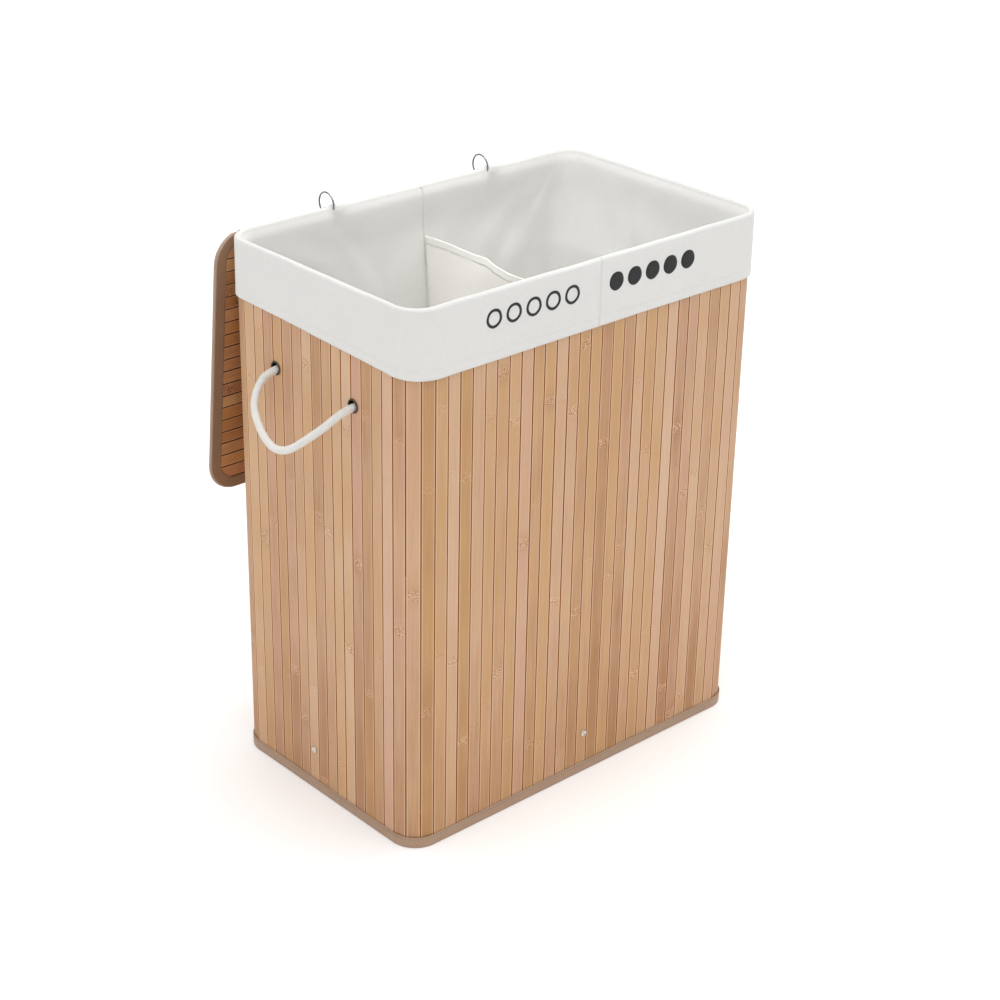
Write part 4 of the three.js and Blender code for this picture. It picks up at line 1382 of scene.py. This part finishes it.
def divider_x(y, level):
    """How far the divider stands off the middle, more towards its back seam."""
    reach = bag_reach()[1]
    share = (y + reach) / (2 * reach)
    back = BACK_SEAM_SHIFT + np.minimum(BACK_SEAM_LEAN * (RIM - level), BACK_SEAM_SHIFT)
    lean = back * smooth_step(share)
    held = np.sin(np.pi * np.clip(share, 0, 1))
    sway = DIVIDER_SWAY * wavy("divider sway", y, level * 0.4)
    return lean + held * (sway + DIVIDER_RIPPLE * wavy("divider ripple", y, level))


def make_divider():
    """The cloth between the bins, with a hem along its top edge."""
    top_slack = RIM - DIVIDER_CREST
    rows = []
    y_share = np.linspace(-1, 1, DIVIDER_COLUMNS)
    for share in np.linspace(0, 1, DIVIDER_ROWS):
        level_middle = BIN_FLOOR + SEAT + (DIVIDER_CREST - BIN_FLOOR) * share
        slack = np.clip((RIM - level_middle) / (RIM - SLOPE_END), 0, 1)
        half_y = HALF_DEPTH + BIN_OUT - CLOTH - SIDE_SLACK * slack - SEAT
        y = y_share * half_y
        level = BIN_FLOOR + SEAT + (divider_crest(y) - BIN_FLOOR) * share
        rows.append(flat_row(divider_x(y, level), y, level))
    places = np.array(rows)[..., 1:]
    cloth = cloth_piece("liner_divider_cloth", rows, places, CLOTH, divider_canvas_painted_light, "canvas", "liner_divider")
    reach = bag_reach()[1] + SIDE_SLACK * (1 - top_slack / (RIM - SLOPE_END))
    hem_height = DIVIDER_HEM / MM
    y = np.linspace(-1, 1, DIVIDER_HEM_COLUMNS) * (reach - MM)
    side = [(0.45, 0.75), (0.62, 0.45), (0.64, 0.0), (0.6, -2.5), (0.55, -6.0), (0.505, -hem_height)]
    section = side + [(-a, b) for a, b in reversed(side)]
    rows = []
    for place in y:
        crest = divider_crest(place)
        lumps = 1 + 0.04 * wavy("divider hem", place, 0)
        levels = [crest + b * MM for _, b in section]
        out = [a * MM * lumps for a, _ in section]
        rows.append([(divider_x(place, min(crest, z)) + x, place, z) for x, z in zip(out, levels)])
    places = [[(place, a * MM + b * MM) for a, b in section] for place in y]
    hem = grid_piece("liner_divider_hem", rows, wrap_columns=True, capped=True, places=places)
    dressed(hem, divider_canvas_painted_light, "basket", "canvas")
    stitches = Shell()
    sewn_reach = reach - DIVIDER_STITCH_END
    for place in np.arange(-sewn_reach, sewn_reach, STITCH_PITCH):
        level = divider_crest(place) - DIVIDER_HEM + DIVIDER_STITCH_RISE
        x = divider_x(place, level)
        ahead = np.array([divider_x(place + MM, level) - x, MM, 0.0])
        for sign in SIDES.values():
            centre = np.array([x + sign * DIVIDER_STITCH_OUT, place, level])
            outward = np.array([sign, 0.0, 0.0])
            add_stitch(stitches, centre, ahead, outward, STITCH_LENGTH, STITCH_RADIUS)
    sewn = dressed(stitches.made("liner_divider_stitches"), white_thread, "basket", "canvas")


def make_marks():
    """Round marks in satin stitch on the front of the cuff."""
    for side, centre, solid in (("left", LEFT_MARKS_CENTRE, False), ("right", RIGHT_MARKS_CENTRE, True)):
        shell = Shell()
        for step in range(MARK_COUNT):
            x = centre + (step - (MARK_COUNT - 1) / 2) * MARK_PITCH
            add_mark(shell, x, solid)
        dressed(shell.made(f"cuff_{side}_marks"), black_thread, "basket", "canvas")


def add_mark(shell, x, solid):
    """One raised disc or ring, as rings of points that follow the cuff's surface."""
    angles = np.linspace(0, math.tau, MARK_COLUMNS, endpoint=False)
    outer = MARK_RADIUS
    inner = MARK_HEART if solid else MARK_RADIUS - MARK_STROKE
    middle_radius = (outer + inner) / 2
    half = (outer - inner) / 2
    across_shares = (-1, -0.97, -0.8, -0.4, 0, 0.4, 0.8, 0.97, 1)
    rising = (1, 1, 1, 1) if solid else (-0.9, 0.2, 0.75, 0.97)
    heights = rising + (1, 0.97, 0.75, 0.2, -0.9)
    rows, places = [], []
    for share, height in zip(across_shares, heights):
        ragged = 1 + 0.012 * np.sin(angles * 41) + 0.008 * np.sin(angles * 67)
        radius = (middle_radius + half * share) * ragged
        mark_x = x + radius * np.cos(angles)
        level = MARK_LEVEL + radius * np.sin(angles)
        distance = -mark_x
        surface = CUFF_OUT + cuff_wave(np.mod(distance, WALL_ROUND), level)
        rows.append(wall_points(distance, surface + MARK_RAISE * height, level))
        if solid:
            places.append(np.stack([mark_x, level + 0.35 * mark_x], -1))
        else:
            places.append(np.stack([radius, angles * MARK_RADIUS], -1))
    shell.grid(rows, wrap_rows=True, wrap_columns=True, places=places)


def make_liner():
    half_round = WALL_ROUND / 2
    liner_half("left", 0.0, half_round + BACK_SEAM_SHIFT)
    liner_half("right", -half_round + BACK_SEAM_SHIFT, 0.0)
    for side in SIDES:
        floor_cloth(side)
    make_divider()
    make_marks()


# Metal pieces

def turned_piece(shell, profile, centre, direction, sides=56):
    """A turned piece: its profile gives radius and place along its axis."""
    direction = np.asarray(direction, float) / np.linalg.norm(direction)
    side = np.cross(direction, (0, 0, 1) if abs(direction[2]) < 0.9 else (1, 0, 0))
    side /= np.linalg.norm(side)
    ring = circle(np.arange(sides) * math.tau / sides, side, np.cross(direction, side))
    rows = [np.asarray(centre) + direction * along + ring * radius for radius, along in profile]
    closed = abs(profile[0][0] - profile[-1][0]) < 1e-9 and abs(profile[0][1] - profile[-1][1]) < 1e-9
    if closed:
        shell.grid(rows[:-1], wrap_rows=True, wrap_columns=True)
    else:
        shell.grid(rows, wrap_columns=True, capped=True)


def rolled_rim(bore, flange, rise, seat, depth):
    """Section of an eyelet: a barrel with a rim rolled over the wall's face."""
    half = (flange - bore) / 2
    centre = bore + half
    inside, under = bore + EYELET_METAL, seat * 0.9
    turn = np.linspace(0, math.pi, 13)
    arc = [(centre + half * math.cos(a), seat + (rise - seat) * math.sin(a)) for a in turn]
    return [*arc, (bore, -depth), (inside, -depth), (inside, under), (flange - EYELET_LIP, under), arc[0]]


def make_eyelets():
    for side, sign in SIDES.items():
        for end in ENDS:
            node = f"{side}_{end}_eyelet"
            place = middle(node)
            low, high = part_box(node)
            shell = Shell()
            depth = high.x - low.x - EYELET_RISE
            profile = rolled_rim(EYELET_BORE, EYELET_RADIUS, EYELET_RISE + SEAT, SEAT, depth)
            turned_piece(shell, profile, (sign * HALF_LENGTH, place.y, place.z), (sign, 0, 0))
            dressed(shell.made(f"{node}_ring"), bronze, "basket", "bronze", node)


def make_rivets():
    """Tubular rivets, whose heads are dished in the middle."""
    outward = {"front": (0, -1, 0), "back": (0, 1, 0), "left": (-1, 0, 0), "right": (1, 0, 0)}
    head = [(1.0, 0.15), (0.94, 0.6), (0.8, 0.9), (0.62, 1.0), (0.47, 0.85), (0.36, 0.55), (0.1, 0.5)]
    for name, direction in outward.items():
        node = f"{name}_rivet"
        out = Vector(direction)
        low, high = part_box(node)
        centre = middle(node)
        face = HALF_DEPTH if direction[0] == 0 else HALF_LENGTH
        centre += out * (face - centre.dot(out))
        run = abs((high - low).dot(out)) - RIVET_RISE
        profile = [(RIVET_SHANK, -run), (RIVET_SHANK, SEAT), (RIVET_RADIUS * 0.95, SEAT)]
        profile += [(RIVET_RADIUS * radius, SEAT + RIVET_RISE * rise) for radius, rise in head]
        shell = Shell()
        turned_piece(shell, profile, centre, direction)
        dressed(shell.made(f"{node}_head"), nickel, "basket", "nickel", node)


def make_rings():
    angles = np.linspace(0, math.tau, RING_STEPS)
    for side in SIDES:
        centre = np.array(middle(f"{side}_lid_ring"))
        path = centre + np.stack([0 * angles, np.sin(angles), np.cos(angles)], -1) * RING_RADIUS
        wire = tube_piece(f"{side}_ring_wire", path, RING_WIRE, RING_SIDES)
        dressed(wire, steel, "basket", "steel", f"{side}_lid_ring")


# Lid

LID_TURN = np.array(Matrix.Rotation(LID_LEAN, 3, "X"))


def lid_points(x, toward_back, down):
    """Points of the lid as it hangs: along the hinge, through its thickness and down from the hinge."""
    x, toward_back, down = np.broadcast_arrays(x, toward_back, down)
    flat = np.stack([x, toward_back, -down], -1).astype(float)
    return np.array(LID_AXIS) + flat @ LID_TURN.T


def lid_outline(distance, inset):
    """Points round the lid's edge, drawn in by an inset: along the hinge, and down from it."""
    straight_x = LID_HALF_LENGTH - LID_CORNER
    straight_y = LID_DEPTH / 2 - LID_CORNER
    marks = outline_marks(straight_x, straight_y, LID_CORNER)
    place = np.mod(distance, marks[-1])
    angle = np.interp(place, marks, WALL_QUARTERS)
    centre_x = np.interp(place, marks, np.sign(WALL_CENTRES_X) * straight_x)
    centre_y = np.interp(place, marks, np.sign(WALL_CENTRES_Y) * straight_y)
    reach = LID_CORNER - inset
    x = centre_x + reach * np.cos(angle)
    down = LID_MARGIN + LID_DEPTH / 2 + centre_y + reach * np.sin(angle)
    down = np.maximum(down, LID_MARGIN + inset + LID_EDGE_DROP)
    return x, down, marks[-1]


def lid_holes():
    through = tuple(lid_points(0, 1, 0) - np.array(LID_AXIS))
    radius = LID_EYELET_BORE + LID_HOLE_ROOM
    return [(tuple(middle(f"{side}_lid_eyelet")), through, radius, LID_HOLE_RUN) for side in SIDES]


def make_lid_slats():
    inset = LID_TAPE + SEAT
    count = round((LID_DEPTH - 2 * inset) / LID_SLAT_PITCH)
    panel = SlatPanel("lid")
    first, last = LID_MARGIN + inset, LID_MARGIN + LID_DEPTH - inset
    edges = joint_places(first, last, count, panel.source)
    half_length = LID_HALF_LENGTH - inset
    radius = LID_CORNER - inset
    face = -(LID_THICKNESS / 2 - LID_TAPE - SEAT)
    axes = [lid_points(*step) - np.array(LID_AXIS) for step in ((1, 0, 0), (0, -1, 0), (0, 0, 1))]
    for near, far in zip(edges[:-1], edges[1:]):
        gap = panel.source.uniform(0.5, 1.3) * SLAT_GAP
        width = far - near - gap
        start = lid_points(-half_length, face, near + gap / 2)

        def trim(across, near=near, gap=gap):
            down = near + gap / 2 + across
            into = np.maximum(0, np.maximum(first + radius - down, down - (last - radius)))
            return radius - np.sqrt(np.maximum(0, radius ** 2 - np.minimum(into, radius) ** 2))

        panel.add(start, axes[2], axes[1], axes[0], width, 2 * half_length, LID_SLAT_THICKNESS, trim)
    dressed(panel.made("lid_slats_bamboo", lid_holes()), lid_bamboo, "lid", "lid_bamboo", "lid_slats")


def make_lid_binding():
    half, thick = LID_THICKNESS / 2, LID_TAPE
    width = LID_TAPE_WIDTH
    edge = [(half * (1 - math.sin(a)), half * math.cos(a)) for a in np.linspace(0, math.pi, 13)]
    front = [(place, half) for place in (width, width * 0.93, width * 0.75, width * 0.5, half * 1.6)]
    back = [(place, -side) for place, side in reversed(front)]
    inner = half - thick
    profile = [*front, *edge, *back, (width, -inner), (half * 1.4, -inner), (thick * 1.6, -inner * 0.5)]
    profile += [(thick * 1.6, inner * 0.5), (half * 1.4, inner), (width, inner)]
    profile = np.array(profile)
    total = lid_outline(0.0, 0.0)[2]
    laps = np.linspace(0, total, LID_BINDING_LAPS)
    rows = []
    for lap in laps:
        ripple = LID_TAPE_RIPPLE * wavy("lid tape", lap, 0)
        x, down, _ = lid_outline(lap, profile[:, 0])
        rows.append(lid_points(x, -profile[:, 1] * (1 + ripple / half), down))
    places = tape_places(laps, profile)
    binding = grid_piece("lid_binding_tape", rows, wrap_columns=True, capped=True, places=places)
    dressed(binding, shaded_lid_tape, "lid", "tape", "lid_binding")
    stitches = Shell()
    count = int(total / TAPE_STITCH_PITCH)
    for distance in (np.arange(count) + 0.5) * TAPE_STITCH_PITCH:
        for side in (-1, 1):
            x, down, _ = lid_outline(distance, width - TAPE_STITCH_INSET)
            next_x, next_down, _ = lid_outline(distance + MM, width - TAPE_STITCH_INSET)
            centre = lid_points(x, side * half, down)
            ahead = lid_points(next_x, side * half, next_down) - centre
            outward = lid_points(x, side * half * 2, down) - centre
            add_stitch(stitches, centre, ahead, outward, TAPE_STITCH_LENGTH, TAPE_STITCH_RADIUS)
    dressed(stitches.made("lid_binding_stitches"), brown_thread, "lid", "tape")


def make_lid_board():
    """The lid's stiff board in its lining, behind the slats."""
    inset = 1.6 * LID_TAPE + SEAT
    face = LID_THICKNESS / 2 - LID_TAPE - SEAT
    front = LID_SLAT_THICKNESS - face + SEAT / 2
    radius = LID_CORNER - inset
    first, last = LID_MARGIN + inset, LID_MARGIN + LID_DEPTH - inset
    centre, half_depth = (first + last) / 2, (last - first) / 2
    bend = np.sin(np.linspace(-math.pi / 2, math.pi / 2, LINING_ROWS))
    rows = []
    for down in np.maximum(centre + half_depth * bend, first + LID_EDGE_DROP):
        reach = rounded_reach(down - centre, LID_HALF_LENGTH - inset, half_depth, radius)
        x = np.linspace(-reach, reach, LINING_COLUMNS)
        pillow = LINING_WAVE * wavy("lining", x, down)
        behind = lid_points(x[::-1], (face + pillow)[::-1], down)
        rows.append(np.concatenate([lid_points(x, front, down), behind]))
    board_piece = grid_piece("lid_board_lining", rows, smooth=False, wrap_columns=True, capped=True)
    pierce(board_piece, lid_holes())
    dressed(board_piece, lining, "lid", "backing", "lid_board")


def make_lid_eyelets():
    direction = lid_points(0, 1, 0) - np.array(LID_AXIS)
    half = LID_THICKNESS / 2
    for side in SIDES:
        node = f"{side}_lid_eyelet"
        shell = Shell()
        for sign in (-1, 1):
            rise, seat = half + LID_EYELET_RISE, half + LID_EYELET_SEAT
            profile = rolled_rim(LID_EYELET_BORE, LID_EYELET_FLANGE, rise, seat, 0)
            turned_piece(shell, profile, middle(node), direction * sign, 48)
        dressed(shell.made(f"{node}_ring"), bronze, "lid", "bronze", node)


def dress_nodes():
    """Materials for the nodes that stay as the frame has them."""
    finishes = {"tape": hidden_tape, "webbing": webbing, "steel": steel, "bronze": bronze, "board": board}
    for row in frame["record"]["subparts"]:
        node = frame["nodes"][row["node"]]
        material = finishes.get(row["material_slot"])
        if material is None or node.hide_render:
            continue
        node.data.materials.clear()
        node.data.materials.append(material)


# Floor and light

FLOOR_SIZE = 14.0
# Lightens the shadow on the floor, and no light on the hamper comes from it
FLOOR_GLOW = 0.13
WHITE = (1, 1, 1, 1)


def make_floor():
    mesh = bpy.data.meshes.new("floor")
    half = FLOOR_SIZE / 2
    corners = [(-half, -half, 0), (half, -half, 0), (half, half, 0), (-half, half, 0)]
    mesh.from_pydata(corners, [], [(0, 1, 2, 3)])
    floor = linked("floor", mesh)
    material, tree = new_material("pale floor")
    clouds = use_group(tree, cloudy, Place=on_object(tree), Size=0.6, Strength=0.01)
    seen = put(tree, "LightPath", output="Is Camera Ray")
    looks = {"Base Color": tinted(clouds["Tone"] * 0.97, WHITE), "Roughness": 0.9, "Specular IOR Level": 0.1}
    glow = {"Emission Color": WHITE, "Emission Strength": seen * FLOOR_GLOW}
    floor.data.materials.append(shaded(material, {**looks, **glow}))


def add_light(name, place, aim, power, **shape):
    """A studio light: a square panel with a size, or a wide soft glow from far away with an angle."""
    data = bpy.data.lights.new(name, "AREA" if "size" in shape else "SUN")
    for field, value in shape.items():
        setattr(data, field, value)
    data.energy = power
    light = linked(name, data)
    light.location = place
    light.rotation_mode = "QUATERNION"
    light.rotation_quaternion = (Vector(aim) - Vector(place)).to_track_quat("-Z", "Y")


def make_light():
    world = bpy.data.worlds.new("studio")
    world.use_nodes = True
    sky = world.node_tree.nodes["Background"]
    sky.inputs["Color"].default_value = WHITE
    sky.inputs["Strength"].default_value = 0.4
    bpy.context.scene.world = world
    bpy.context.scene.view_settings.view_transform = "Standard"
    middle_height = (0, 0, RIM / 2)
    crest = (0.02, 0.05, DIVIDER_CREST)
    add_light("overhead", (0.2, -0.12, 2.6), middle_height, 2.3, angle=95 * DEGREE)
    add_light("bins", (0, 0, 1.3), (0, 0, RIM), 0.85, size=0.4, spread=110 * DEGREE)
    add_light("divider", (-0.45, -0.1, 1.05), crest, 0.033, size=0.15, spread=22 * DEGREE)
    add_light("left", (-2.6, -0.2, 1.0), middle_height, 3, size=1.8)


make_camera()
for handle_side in SIDES:
    make_handle(handle_side)
make_walls()
make_wall_backing()
make_base_cloth()
make_bottom_binding()
make_top_binding()
make_liner()
make_eyelets()
make_rivets()
make_rings()
make_lid_slats()
make_lid_binding()
make_lid_board()
make_lid_eyelets()
dress_nodes()
make_floor()
make_light()
